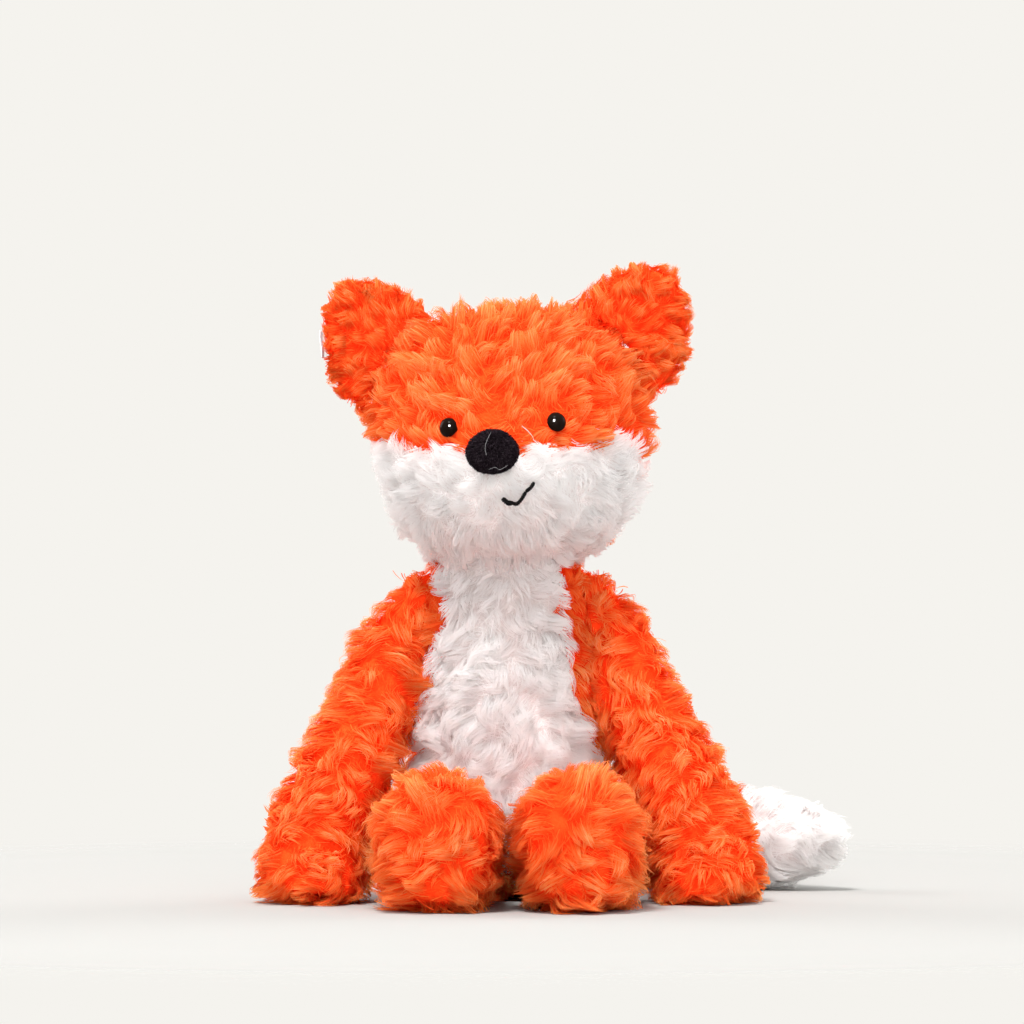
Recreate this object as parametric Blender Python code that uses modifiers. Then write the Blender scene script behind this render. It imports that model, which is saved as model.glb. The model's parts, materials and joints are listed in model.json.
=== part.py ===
# A sitting plush fox: fur skins over stuffed forms, with a turning head, folding ears, limbs and a tail.
# Metres, +Z up. The toy faces -Y and its own left side is +X. The origin is in the middle of the seat.

import math

import bmesh
import bpy
from mathutils import Matrix, Vector
from mathutils.bvhtree import BVHTree

# Clearances between pieces, and how far a cutter runs past what it cuts
GAP = 0.0003
OVERRUN = 0.004
FLOOR_CUT = 0.0005
STUFFING_GAP = 0.0007
WELD_DISTANCE = 0.00001

# Fur fabric: woven backing and pile together
SKIN = 0.007

# Torso
TORSO_WIDTH = 0.1045
TORSO_DEPTH = 0.0980
TORSO_SET_BACK = 0.0040
NECK_HEIGHT = 0.1615
BELLY_BOTTOM = 0.0090
BELLY_SEAM_FORWARD = 0.0140

# Head, with the small turn and tilt that it was set down with
HEAD_WIDTH = 0.1385
HEAD_DEPTH = 0.1180
HEAD_HEIGHT = 0.1240
HEAD_FORWARD = 0.0050
HEAD_TO_LEFT = 0.0010
HEAD_SUNK = 0.0026
SNOUT_REACH = 0.0080
HEAD_TURN = math.radians(-6)
HEAD_TILT = math.radians(-3)
HEAD_SWING = math.radians(28)

# Eyes and their washers
EYE_DIAMETER = 0.0098
EYE_SPACING = 0.0522
EYES_ASIDE = 0.0022
EYE_RISE = 0.0042
EYE_DOME = 0.0042
EYE_SINK = 0.0022
POST_DIAMETER = 0.0034
WASHER_DIAMETER = 0.0110
WASHER_THICKNESS = 0.0012
POST_PAST_WASHER = 0.0015

# Nose
NOSE_WIDTH = 0.0250
NOSE_HEIGHT = 0.0208
NOSE_DEPTH = 0.0130
NOSE_DROP = 0.0086
NOSE_ASIDE = -0.0018
NOSE_SUNK = 0.0036

# Ears
EAR_WIDTH = 0.0620
EAR_HEIGHT = 0.0408
EAR_THICKNESS = 0.0220
EAR_ROOT = 0.0130
EAR_DISH = 0.0062
EAR_TOWARDS_TOP = 0.0065
EAR_RAKE = math.radians(41.5)
EAR_FORWARD_FOLD = math.radians(30)
EAR_BACKWARD_FOLD = math.radians(25)

# Tag at the edge of the right ear
TAG_LENGTH = 0.0130
TAG_WIDTH = 0.0090
TAG_THICKNESS = 0.0008
TAG_RISE = 0.0290

# Arms, from the shoulder to the paw on the floor
ARM_ROOT_WIDTH = 0.0330
PAW_WIDTH = 0.0575
PAW_DEPTH = 0.0520
PAW_FORWARD = 0.0460
PAW_TO_LEG = {"left": 0.0040, "right": 0.0012}
ARM_BOW = {"left": -0.0026, "right": 0.0002}
ARM_LIFT = math.radians(45)

# Legs, stretched forward along the floor
LEG_WIDTH = 0.0625
LEG_HEIGHT = 0.0680
LEG_LENGTH = 0.0900
LEG_SPACING = 0.0020
LEG_ROOT = 0.0230
LEG_LIFT = math.radians(50)

# Tail, curled round to the left side along the floor
TAIL_REACH = 0.1660
TAIL_BEHIND = 0.0400
TAIL_DIAMETER = 0.0500
TAIL_SWING_OUT = math.radians(60)
TAIL_SWING_IN = math.radians(4)

# Pellet bag in the seat
POUCH_WIDTH = 0.0660
POUCH_DEPTH = 0.0600
POUCH_HEIGHT = 0.0200

BODY_SIDES = 10
LIMB_SIDES = 8
ROUND_STEPS = 16
SWING_STEPS = 3
EAR_SWING_STEPS = 4

# Torso rings: height as a share of the neck's, then width, depth and how far back, as shares
TORSO_RING_SHARES = (
    (0.00, 0.50, 0.50, 0.00),
    (0.00, 0.80, 0.80, 0.00),
    (0.09, 0.97, 0.97, 0.00),
    (0.25, 1.00, 1.00, 0.05),
    (0.45, 0.93, 0.95, 0.05),
    (0.66, 0.81, 0.86, 0.00),
    (0.86, 0.72, 0.76, -0.06),
    (1.00, 0.68, 0.70, -0.10),
    (1.12, 0.56, 0.58, -0.12),
)

# Head rings: height from the middle, half width, front and back as shares, and the snout's share
HEAD_RING_SHARES = (
    (-1.00, 0.44, 0.46, 0.42, 0.00),
    (-0.90, 0.68, 0.76, 0.66, 0.10),
    (-0.62, 0.85, 0.95, 0.88, 0.55),
    (-0.28, 0.955, 1.00, 0.98, 1.00),
    (0.08, 1.01, 0.97, 1.00, 0.55),
    (0.42, 0.95, 0.87, 0.95, 0.10),
    (0.72, 0.80, 0.70, 0.80, 0.00),
    (0.93, 0.55, 0.47, 0.56, 0.00),
    (1.01, 0.24, 0.20, 0.26, 0.00),
)

# The upper edge of the white panel: across and up from the head's middle, as shares of half its size
MUZZLE_EDGE_SHARES = (
    (-1.20, -0.34),
    (-0.94, -0.24),
    (-0.80, -0.10),
    (-0.60, -0.05),
    (-0.34, -0.09),
    (-0.17, -0.24),
    (0.00, -0.30),
    (0.17, -0.24),
    (0.34, -0.09),
    (0.60, -0.05),
    (0.80, -0.10),
    (0.94, -0.24),
    (1.20, -0.34),
)

# Ear rings: distance along the ear, then width, thickness, lean to the top and dish, as shares
EAR_RING_SHARES = (
    (-1.00, 0.92, 0.70, 0.00, 0.00),
    (0.00, 0.99, 1.00, 0.00, 0.45),
    (0.24, 0.96, 0.96, 0.20, 0.90),
    (0.48, 0.84, 0.90, 0.48, 1.00),
    (0.71, 0.66, 0.80, 0.80, 0.80),
    (0.89, 0.43, 0.62, 1.00, 0.35),
    (0.99, 0.18, 0.32, 1.00, 0.00),
)

# Arm rings: drop and outward travel from shoulder to floor, forward travel, and growth to the paw's size
ARM_RING_SHARES = (
    (-0.07, -0.26, -0.02, -0.50),
    (0.02, 0.00, 0.00, 0.00),
    (0.18, 0.17, 0.12, 0.22),
    (0.42, 0.44, 0.38, 0.52),
    (0.62, 0.68, 0.64, 0.80),
    (0.81, 0.92, 0.88, 1.00),
    (0.95, 1.02, 1.00, 0.82),
    (1.00, 1.03, 1.02, 0.08),
)

# Leg rings: reach from the hip to the sole, width, height and height of the middle, as shares
LEG_RING_SHARES = (
    (0.00, 0.70, 0.74, 0.37),
    (0.22, 0.86, 0.86, 0.43),
    (0.50, 0.95, 0.95, 0.475),
    (0.76, 1.01, 1.01, 0.50),
    (0.91, 0.96, 0.97, 0.50),
    (1.01, 0.58, 0.60, 0.50),
)

# Tail rings: reach to the side, reach behind, height of the middle and thickness, as shares
TAIL_RING_SHARES = (
    (-0.03, -0.36, 0.66, 0.52),
    (0.01, 0.10, 0.60, 0.64),
    (0.10, 0.66, 0.53, 0.80),
    (0.28, 1.00, 0.50, 0.96),
    (0.50, 0.93, 0.50, 1.00),
    (0.70, 0.52, 0.50, 1.00),
    (0.87, 0.08, 0.50, 0.78),
    (1.01, -0.12, 0.54, 0.16),
)
TAIL_WHITE_SHARE = 0.66

# Where pieces sit on the ones that carry them: out, up or back, as shares of the carrier's size
EAR_PLACE_SHARES = (0.382, 0.300)
SHOULDER_SHARES = (0.44, 0.42)
ARM_PIVOT_SHARES = (0.352, 0.10)
LEG_PIVOT_SHARES = (0.47, 0.86)
TAIL_PIVOT_SHARES = (0.14, 0.60)
MUZZLE_SEAM_SHARE = 0.12
NOSE_BROW_SHARE = 0.16
SIDES = {"left": 1, "right": -1}


def clear_scene():
    for obj in list(bpy.data.objects):
        bpy.data.objects.remove(obj)


def add_collection(name):
    collection = bpy.data.collections.new(name)
    bpy.context.scene.collection.children.link(collection)
    return collection


def material(name, colour, roughness):
    made = bpy.data.materials.new(name)
    made.use_nodes = True
    shader = made.node_tree.nodes["Principled BSDF"]
    shader.inputs["Base Color"].default_value = (*colour, 1)
    shader.inputs["Roughness"].default_value = roughness
    shader.inputs["Metallic"].default_value = 0
    made.diffuse_color = (*colour, 1)
    return made


def add_object(name, mesh, collection, place=None):
    obj = bpy.data.objects.new(name, mesh)
    collection.objects.link(obj)
    obj.matrix_world = place or Matrix.Identity(4)
    return obj


def add_cutter(name, mesh, place=None):
    obj = add_object(name, mesh, cutters, place)
    obj.hide_render = True
    obj.display_type = "WIRE"
    return obj


def mesh_from(name, build):
    shape = bmesh.new()
    build(shape)
    bmesh.ops.recalc_face_normals(shape, faces=shape.faces)
    mesh = bpy.data.meshes.new(name)
    shape.to_mesh(mesh)
    shape.free()
    mesh.shade_smooth()
    return mesh


def subdivide(obj, levels):
    smooth = obj.modifiers.new("subdivide", "SUBSURF")
    smooth.levels = levels
    smooth.render_levels = levels


def offset(obj, distance):
    move = obj.modifiers.new("offset", "DISPLACE")
    move.mid_level = 0
    move.strength = distance


def cut(obj, cutter, operation="DIFFERENCE"):
    boolean = obj.modifiers.new(cutter.name, "BOOLEAN")
    boolean.operation = operation
    boolean.solver = "EXACT"
    boolean.object = cutter


def keep(obj, cutter):
    cut(obj, cutter, "INTERSECT")


def box_mesh(name, low, high):
    def build(shape):
        bmesh.ops.create_cube(shape, size=1)
        size = [top - bottom for bottom, top in zip(low, high)]
        middle = [(top + bottom) / 2 for bottom, top in zip(low, high)]
        bmesh.ops.scale(shape, vec=size, verts=shape.verts)
        bmesh.ops.translate(shape, vec=middle, verts=shape.verts)

    return mesh_from(name, build)


def rod_mesh(name, radius, bottom, top):
    def build(shape):
        bmesh.ops.create_cone(
            shape,
            cap_ends=True,
            segments=ROUND_STEPS,
            radius1=radius,
            radius2=radius,
            depth=top - bottom,
        )
        bmesh.ops.translate(shape, vec=(0, 0, (top + bottom) / 2), verts=shape.verts)

    return mesh_from(name, build)


def ring_points(centre, across, over, half_across, half_over, sides):
    # A subdivided ring lies inside its cage, so the cage is that much larger
    grow = 3 / (2 + math.cos(math.tau / sides))
    points = []
    for step in range(sides):
        angle = math.tau * step / sides
        sideways = across * (half_across * grow * math.cos(angle))
        upward = over * (half_over * grow * math.sin(angle))
        points.append(centre + sideways + upward)
    return points


def loft(name, rings):
    # One closed cage through rings of equal count, with a single face at each end
    def build(shape):
        layers = [[shape.verts.new(point) for point in ring] for ring in rings]
        count = len(rings[0])
        for below, above in zip(layers, layers[1:]):
            for step in range(count):
                following = (step + 1) % count
                shape.faces.new((below[step], below[following], above[following], above[step]))
        shape.faces.new(layers[0][::-1])
        shape.faces.new(layers[-1])

    return mesh_from(name, build)


def limb_rings(stations, level, sides):
    # Rings square to a path: each station is its middle, half width and half height
    rings = []
    last = len(stations) - 1
    for index, (centre, half_across, half_over) in enumerate(stations):
        ahead = stations[min(index + 1, last)][0] - stations[max(index - 1, 0)][0]
        across = ahead.cross(level).normalized()
        over = across.cross(ahead).normalized()
        rings.append(ring_points(centre, across, over, half_across, half_over, sides))
    return rings


class Form:
    # A stuffed shape, from which its skin, its filling and the cutters of its neighbours are made

    def __init__(self, name, cage, place=None, levels=1):
        self.name = name
        self.cage = cage
        self.place = place or Matrix.Identity(4)
        self.levels = levels
        self.core = self.cutter("core", -SKIN)
        self.grown = self.cutter("grown", GAP)

    def solid(self, name, collection, distance=0, place=None):
        obj = add_object(name, self.cage, collection, place or self.place)
        subdivide(obj, self.levels)
        if distance:
            offset(obj, distance)
        return obj

    def cutter(self, use, distance, place=None):
        obj = self.solid(f"{self.name}_{use}", cutters, distance, place)
        obj.hide_render = True
        obj.display_type = "WIRE"
        return obj

    def swung(self, pivot, axis, angles, place=None):
        # Copies of the grown form, turned back about a neighbour's joint
        found = []
        for index, angle in enumerate(angles):
            turn = turn_about(pivot, axis, -angle) @ (place or self.place)
            found.append(self.cutter(f"swung_{index}", GAP, turn))
        return found

    def skin(self, name, colour):
        obj = self.solid(name, toy)
        cut(obj, self.core)
        obj.data.materials.clear()
        return dress(obj, colour)

    def filling(self, name, colour):
        return dress(self.solid(name, toy, -SKIN - STUFFING_GAP), colour)


def turn_about(pivot, axis, angle):
    return Matrix.Translation(pivot) @ Matrix.Rotation(angle, 4, axis) @ Matrix.Translation(-pivot)


def dress(obj, colour):
    # Objects that share a cage keep their own material on the object
    if not obj.data.materials:
        obj.data.materials.append(None)
    obj.material_slots[0].link = "OBJECT"
    obj.material_slots[0].material = colour
    return obj


def point_on(form, start, direction):
    # Where a ray in the form's own frame meets its surface, with the outward direction there
    surface = BVHTree.FromObject(form.grown, bpy.context.evaluated_depsgraph_get())
    spot, normal = surface.ray_cast(start, direction)[:2]
    return form.place @ spot, form.place.to_3x3() @ normal


def steps_between(low, high, count):
    return [low + (high - low) * step / (count - 1) for step in range(count)]


def add_pivot(name, point, pieces):
    # An empty on the joint's axis carries the pieces that turn about it
    empty = bpy.data.objects.new(name, None)
    toy.objects.link(empty)
    empty.empty_display_size = EYE_DIAMETER
    empty.location = point
    bpy.context.view_layer.update()
    for piece in pieces:
        piece.parent = empty
        piece.matrix_parent_inverse = empty.matrix_world.inverted()
    return empty


def torso_form():
    rings = []
    for height, width, depth, back in TORSO_RING_SHARES:
        middle = Vector((0, TORSO_SET_BACK + TORSO_DEPTH * back / 2, NECK_HEIGHT * height - FLOOR_CUT))
        half = (TORSO_WIDTH * width / 2, TORSO_DEPTH * depth / 2)
        rings.append(ring_points(middle, Vector((1, 0, 0)), Vector((0, 1, 0)), *half, BODY_SIDES))
    return Form("torso_form", loft("torso_cage", rings))


def build_torso(torso):
    reach = TORSO_WIDTH + TORSO_DEPTH
    seam = TORSO_SET_BACK - BELLY_SEAM_FORWARD
    window = {}
    for use, gap in (("inside", 0), ("outside", GAP)):
        low = (-reach, -reach, BELLY_BOTTOM - gap)
        high = (reach, seam + gap, NECK_HEIGHT * 2)
        window[use] = add_cutter(f"belly_{use}", box_mesh(f"belly_{use}", low, high))

    belly = torso.skin("belly_panel", white_fur)
    back = torso.skin("torso_back", orange_fur)
    for piece in (belly, back):
        cut(piece, above_neck)
    keep(belly, window["inside"])
    cut(back, window["outside"])
    cut(back, below_floor)

    filling = torso.filling("torso_filling", fibre)
    cut(filling, above_neck)
    pouch_middle = SKIN + GAP + POUCH_HEIGHT / 2 + FLOOR_CUT
    seat = add_cutter("seat_space", box_mesh(
        "seat_space", (-reach, -reach, -OVERRUN), (reach, reach, pouch_middle - POUCH_HEIGHT / 4)
    ))
    cut(filling, seat)
    cut(filling, pouch_shape("pouch_space", cutters, pouch_middle, GAP, hidden=True))
    pouch = dress(pouch_shape("bean_pouch", toy, pouch_middle, 0), pellet_cloth)
    return [belly, back, filling, pouch]


def pouch_shape(name, collection, height, grow, hidden=False):
    def build(shape):
        bmesh.ops.create_uvsphere(shape, u_segments=ROUND_STEPS, v_segments=ROUND_STEPS // 2, radius=1)
        half = (POUCH_WIDTH / 2 + grow, POUCH_DEPTH / 2 + grow, POUCH_HEIGHT / 2 + grow)
        bmesh.ops.scale(shape, vec=half, verts=shape.verts)

    place = Matrix.Translation((0, TORSO_SET_BACK, height))
    obj = add_object(name, mesh_from(name, build), collection, place)
    if hidden:
        obj.hide_render = True
        obj.display_type = "WIRE"
    return obj


def head_form():
    rings = []
    for height, width, front, back, snout in HEAD_RING_SHARES:
        front_depth = HEAD_DEPTH * front / 2
        back_depth = HEAD_DEPTH * back / 2
        middle = Vector((0, (back_depth - front_depth) / 2, HEAD_HEIGHT * height / 2))
        half = (HEAD_WIDTH * width / 2, (back_depth + front_depth) / 2)
        ring = ring_points(middle, Vector((1, 0, 0)), Vector((0, 1, 0)), *half, BODY_SIDES)
        for point in ring:
            facing = max(0, (middle.y - point.y) / half[1])
            point.y -= SNOUT_REACH * snout * facing**6
        rings.append(ring)
    return Form("head_form", loft("head_cage", rings), head_place())


def neck_pivot():
    return Vector((HEAD_TO_LEFT, -HEAD_FORWARD, NECK_HEIGHT))


def head_place():
    height = NECK_HEIGHT + HEAD_HEIGHT / 2 - HEAD_SUNK
    place = Matrix.Translation((HEAD_TO_LEFT, -HEAD_FORWARD, height))
    return place @ Matrix.Rotation(HEAD_TURN, 4, "Z") @ Matrix.Rotation(HEAD_TILT, 4, "Y")


def muzzle_cutter(name, grow):
    # The white panel's outline, pushed back from in front of the face to the side seam
    half_width = HEAD_WIDTH / 2
    half_height = HEAD_HEIGHT / 2

    def build(shape):
        outline = [(x * half_width, z * half_height + grow) for x, z in MUZZLE_EDGE_SHARES]
        outline.append((half_width * 2, -HEAD_HEIGHT))
        outline.append((-half_width * 2, -HEAD_HEIGHT))
        front = [shape.verts.new((x, -HEAD_DEPTH, z)) for x, z in outline]
        face = shape.faces.new(front)
        pushed = bmesh.ops.extrude_face_region(shape, geom=[face])["geom"]
        moved = [part for part in pushed if isinstance(part, bmesh.types.BMVert)]
        seam = HEAD_DEPTH * (1 + MUZZLE_SEAM_SHARE) + grow
        bmesh.ops.translate(shape, vec=(0, seam, 0), verts=moved)

    return add_cutter(name, mesh_from(name, build), head_place())


def nose_shape(name, collection, place, grow):
    def build(shape):
        bmesh.ops.create_uvsphere(shape, u_segments=ROUND_STEPS, v_segments=ROUND_STEPS // 2, radius=1)
        half = (NOSE_WIDTH / 2 + grow, NOSE_HEIGHT / 2 + grow, NOSE_DEPTH / 2 + grow)
        for vert in shape.verts:
            # The brow of the nose is narrower than its middle, and its underside rounder
            vert.co.x *= 1 - max(0, vert.co.y) ** 2 * NOSE_BROW_SHARE
        bmesh.ops.scale(shape, vec=half, verts=shape.verts)

    return add_object(name, mesh_from(name, build), collection, place)


def turned(name, outline, collection, place):
    # A profile at +X, read down its outer side, turned about its own Z axis
    def build(shape):
        verts = [shape.verts.new((radius, 0, height)) for radius, height in outline]
        for first, second in zip(verts, verts[1:]):
            shape.edges.new((first, second))

    mesh = mesh_from(name, build)
    obj = add_object(name, mesh, collection, place)
    screw = obj.modifiers.new("turn", "SCREW")
    screw.steps = ROUND_STEPS
    screw.render_steps = ROUND_STEPS
    screw.use_merge_vertices = True
    screw.merge_threshold = WELD_DISTANCE
    return obj


def eye_outline():
    radius = EYE_DIAMETER / 2
    points = []
    for step in range(6):
        angle = math.radians(90) * (1 - step / 5)
        points.append((radius * math.cos(angle), EYE_DOME * math.sin(angle) - EYE_SINK))
    points[0] = (0, points[0][1])
    post = POST_DIAMETER / 2
    points.append((post, -EYE_SINK))
    points.append((post, -washer_depth() - WASHER_THICKNESS - POST_PAST_WASHER))
    points.append((0, points[-1][1]))
    return points


def washer_depth():
    # The skin curves away behind the washer, so the washer clears it at its rim
    sagitta = WASHER_DIAMETER**2 / HEAD_DEPTH
    return SKIN + GAP * 3 + sagitta


def washer_outline():
    inner = POST_DIAMETER / 2 + GAP
    outer = WASHER_DIAMETER / 2
    top = -washer_depth()
    bottom = top - WASHER_THICKNESS
    return [(inner, top), (outer, top), (outer, bottom), (inner, bottom), (inner, top)]


def build_head(head):
    reach = HEAD_WIDTH + HEAD_DEPTH
    below_neck = add_cutter("below_neck", box_mesh(
        "below_neck", (-reach, -reach, 0), (reach, reach, NECK_HEIGHT + GAP / 2)
    ))
    crown = head.skin("head_crown", orange_fur)
    muzzle = head.skin("muzzle_panel", white_fur)
    filling = head.filling("head_filling", fibre)
    for piece in (crown, muzzle, filling):
        cut(piece, below_neck)
    keep(muzzle, muzzle_cutter("muzzle_outline", 0))
    cut(crown, muzzle_cutter("muzzle_opening", GAP))

    world = head.place
    inward = Vector((0, 1, 0))
    pieces = [crown, muzzle, filling]

    spot, _ = point_on(head, Vector((NOSE_ASIDE, -HEAD_DEPTH, -NOSE_DROP)), inward)
    out = world.to_3x3() @ -inward
    nose_at = frame_at(spot + out * (NOSE_DEPTH / 2 - NOSE_SUNK), out, world)
    pieces.append(dress(nose_shape("nose", toy, nose_at, 0), black_velvet))
    socket = nose_shape("nose_socket", cutters, nose_at, GAP)
    socket.hide_render = True
    socket.display_type = "WIRE"
    cut(crown, socket)
    cut(muzzle, socket)

    for side, sign in SIDES.items():
        start = Vector((EYES_ASIDE + sign * EYE_SPACING / 2, -HEAD_DEPTH, EYE_RISE))
        eye_at = frame_at(*point_on(head, start, inward), world)
        pieces.append(dress(turned(f"eye_{side}", eye_outline(), toy, eye_at), black_plastic))
        washer = turned(f"eye_washer_{side}", washer_outline(), toy, eye_at)
        pieces.append(dress(washer, grey_plastic))
        seat = rod_mesh(f"eye_seat_{side}", EYE_DIAMETER / 2 + GAP, -EYE_SINK - GAP, OVERRUN)
        hole = rod_mesh(f"post_hole_{side}", POST_DIAMETER / 2 + GAP, -SKIN - OVERRUN, OVERRUN)
        deepest = washer_depth() + WASHER_THICKNESS + POST_PAST_WASHER + GAP
        room = rod_mesh(f"washer_room_{side}", WASHER_DIAMETER / 2 + GAP, -deepest, 0)
        cut(crown, add_cutter(seat.name, seat, eye_at))
        cut(crown, add_cutter(hole.name, hole, eye_at))
        cut(filling, add_cutter(room.name, room, eye_at))
    return pieces


def frame_at(point, outward, level):
    # A frame whose Z axis points out of the surface and whose Y axis stays near the head's up
    up = level.to_3x3() @ Vector((0, 0, 1))
    side = up.cross(outward).normalized()
    over = outward.cross(side).normalized()
    turn = Matrix((side, over, outward)).transposed()
    return Matrix.Translation(point) @ turn.to_4x4()


def ear_place(head, sign):
    # The middle of the ear's base on the head, with X along the base and Z out along the ear
    aim = Vector((sign * HEAD_WIDTH * EAR_PLACE_SHARES[0], 0, HEAD_HEIGHT * EAR_PLACE_SHARES[1]))
    spot, _ = point_on(head, aim * 2, -aim.normalized())
    rake = Matrix.Rotation(sign * (math.pi / 2 - EAR_RAKE), 4, "Y")
    return Matrix.Translation(spot) @ head.place.to_3x3().to_4x4() @ rake


def build_ear(side, head):
    sign = SIDES[side]
    place = ear_place(head, sign)
    rings = []
    for along, width, thickness, lean, dish in EAR_RING_SHARES:
        distance = along * (EAR_HEIGHT if along > 0 else EAR_ROOT)
        middle = Vector((-sign * EAR_TOWARDS_TOP * lean, 0, distance))
        half = (EAR_WIDTH * width / 2, EAR_THICKNESS * thickness / 2)
        ring = ring_points(middle, Vector((1, 0, 0)), Vector((0, 1, 0)), *half, BODY_SIDES)
        for point in ring:
            facing = max(0, -point.y / half[1])
            point.y += EAR_DISH * dish * facing**3
        rings.append(ring)
    cage = loft(f"ear_cage_{side}", rings)
    reach = EAR_WIDTH + EAR_HEIGHT
    pivot = place.translation
    axis = (place.to_3x3() @ Vector((1, 0, 0))).normalized()
    swing = steps_between(-EAR_BACKWARD_FOLD, EAR_FORWARD_FOLD, EAR_SWING_STEPS)
    cleared = head.swung(pivot, axis, swing)
    pieces = []
    for half, low, high in (("front", -reach, -GAP / 2), ("back", GAP / 2, reach)):
        ear = add_object(f"ear_{side}_{half}", cage, toy, place)
        subdivide(ear, 1)
        name = f"ear_{side}_{half}_side"
        block = box_mesh(name, (-reach, low, -reach), (reach, high, reach))
        keep(ear, add_cutter(name, block, place))
        for copy in cleared:
            cut(ear, copy)
        pieces.append(dress(ear, orange_fur))
    return pieces, place


def build_arm(side, torso, head, leg_outer):
    sign = SIDES[side]
    out, below = SHOULDER_SHARES
    shoulder = Vector((TORSO_WIDTH * out, TORSO_SET_BACK, NECK_HEIGHT - ARM_ROOT_WIDTH * below))
    paw = Vector((leg_outer + PAW_TO_LEG[side] + PAW_WIDTH / 2, TORSO_SET_BACK - PAW_FORWARD, 0))
    stations = []
    for drop, outward, forward, growth in ARM_RING_SHARES:
        bow = ARM_BOW[side] * math.sin(math.pi * max(0, drop))
        x = shoulder.x + (paw.x - shoulder.x) * outward + bow
        y = shoulder.y + (paw.y - shoulder.y) * forward
        centre = Vector((sign * x, y, shoulder.z * (1 - drop) - FLOOR_CUT))
        width = ARM_ROOT_WIDTH + (PAW_WIDTH - ARM_ROOT_WIDTH) * growth
        depth = ARM_ROOT_WIDTH + (PAW_DEPTH - ARM_ROOT_WIDTH) * growth
        stations.append((centre, width / 2, depth / 2))
    cage = loft(f"arm_cage_{side}", limb_rings(stations, Vector((0, 1, 0)), LIMB_SIDES))
    out, below = ARM_PIVOT_SHARES
    pivot = Vector((sign * TORSO_WIDTH * out, TORSO_SET_BACK, NECK_HEIGHT - ARM_ROOT_WIDTH * below))
    axis = Vector((0, -sign, 0))
    pieces = limb_pieces(Form(f"arm_form_{side}", cage), "arm", side, torso, (pivot, axis, 0, ARM_LIFT))
    # A raised arm also clears the jaw, straight or turned
    jaws = []
    for turn in (0, HEAD_SWING):
        place = turn_about(neck_pivot(), Vector((0, 0, 1)), turn) @ head.place
        jaws += head.swung(pivot, axis, [ARM_LIFT], place)
    for piece in pieces:
        for cutter in [above_neck] + jaws:
            cut(piece, cutter)
    return pieces, pivot


def limb_pieces(form, limb, side, torso, hinge):
    pivot, axis, low, high = hinge
    cleared = torso.swung(pivot, axis, steps_between(low, high, SWING_STEPS))
    skin = form.skin(f"{limb}_{side}", orange_fur)
    filling = form.filling(f"{limb}_filling_{side}", fibre)
    for piece in (skin, filling):
        for copy in cleared:
            cut(piece, copy)
    cut(skin, below_floor)
    return [skin, filling]


def build_leg(side, torso):
    sign = SIDES[side]
    belly = TORSO_SET_BACK - TORSO_DEPTH / 2
    hip = belly + LEG_ROOT
    sole = belly - LEG_LENGTH
    stations = []
    for reach, width, height, rise in LEG_RING_SHARES:
        x = sign * (LEG_SPACING + LEG_WIDTH) / 2
        centre = Vector((x, hip + (sole - hip) * reach, LEG_HEIGHT * rise - FLOOR_CUT))
        stations.append((centre, LEG_WIDTH * width / 2, LEG_HEIGHT * height / 2))
    cage = loft(f"leg_cage_{side}", limb_rings(stations, Vector((0, 0, 1)), LIMB_SIDES))
    forward, above = LEG_PIVOT_SHARES
    pivot = Vector((0, TORSO_SET_BACK - TORSO_DEPTH * forward, LEG_HEIGHT * above))
    axis = Vector((-1, 0, 0))
    return limb_pieces(Form(f"leg_form_{side}", cage), "leg", side, torso, (pivot, axis, 0, LEG_LIFT)), pivot


def build_tail(torso):
    back = TORSO_SET_BACK + TORSO_DEPTH / 2
    stations = []
    for side, behind, height, thickness in TAIL_RING_SHARES:
        middle = Vector((TAIL_REACH * side, back + TAIL_BEHIND * behind, TAIL_DIAMETER * height - FLOOR_CUT))
        stations.append((middle, TAIL_DIAMETER * thickness / 2, TAIL_DIAMETER * thickness / 2))
    cage = loft("tail_cage", limb_rings(stations, Vector((0, 0, 1)), LIMB_SIDES))
    form = Form("tail_form", cage)
    inward, above = TAIL_PIVOT_SHARES
    pivot = Vector((-TAIL_DIAMETER * inward, back, TAIL_DIAMETER * above))
    swing = steps_between(-TAIL_SWING_IN, TAIL_SWING_OUT, SWING_STEPS)
    cleared = torso.swung(pivot, Vector((0, 0, 1)), swing)
    split = TAIL_REACH * TAIL_WHITE_SHARE
    reach = TAIL_REACH * 2
    base_side = box_mesh("tail_base_side", (-reach, -reach, -reach), (split - GAP / 2, reach, reach))
    tip_side = box_mesh("tail_tip_side", (split + GAP / 2, -reach, -reach), (reach, reach, reach))
    base = form.skin("tail_base", orange_fur)
    tip = form.skin("tail_tip", white_fur)
    filling = form.filling("tail_filling", fibre)
    keep(base, add_cutter("tail_base_side", base_side))
    keep(tip, add_cutter("tail_tip_side", tip_side))
    for piece in (base, filling):
        for copy in cleared:
            cut(piece, copy)
    for piece in (base, tip):
        cut(piece, below_floor)
    return [base, tip, filling], pivot


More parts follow.
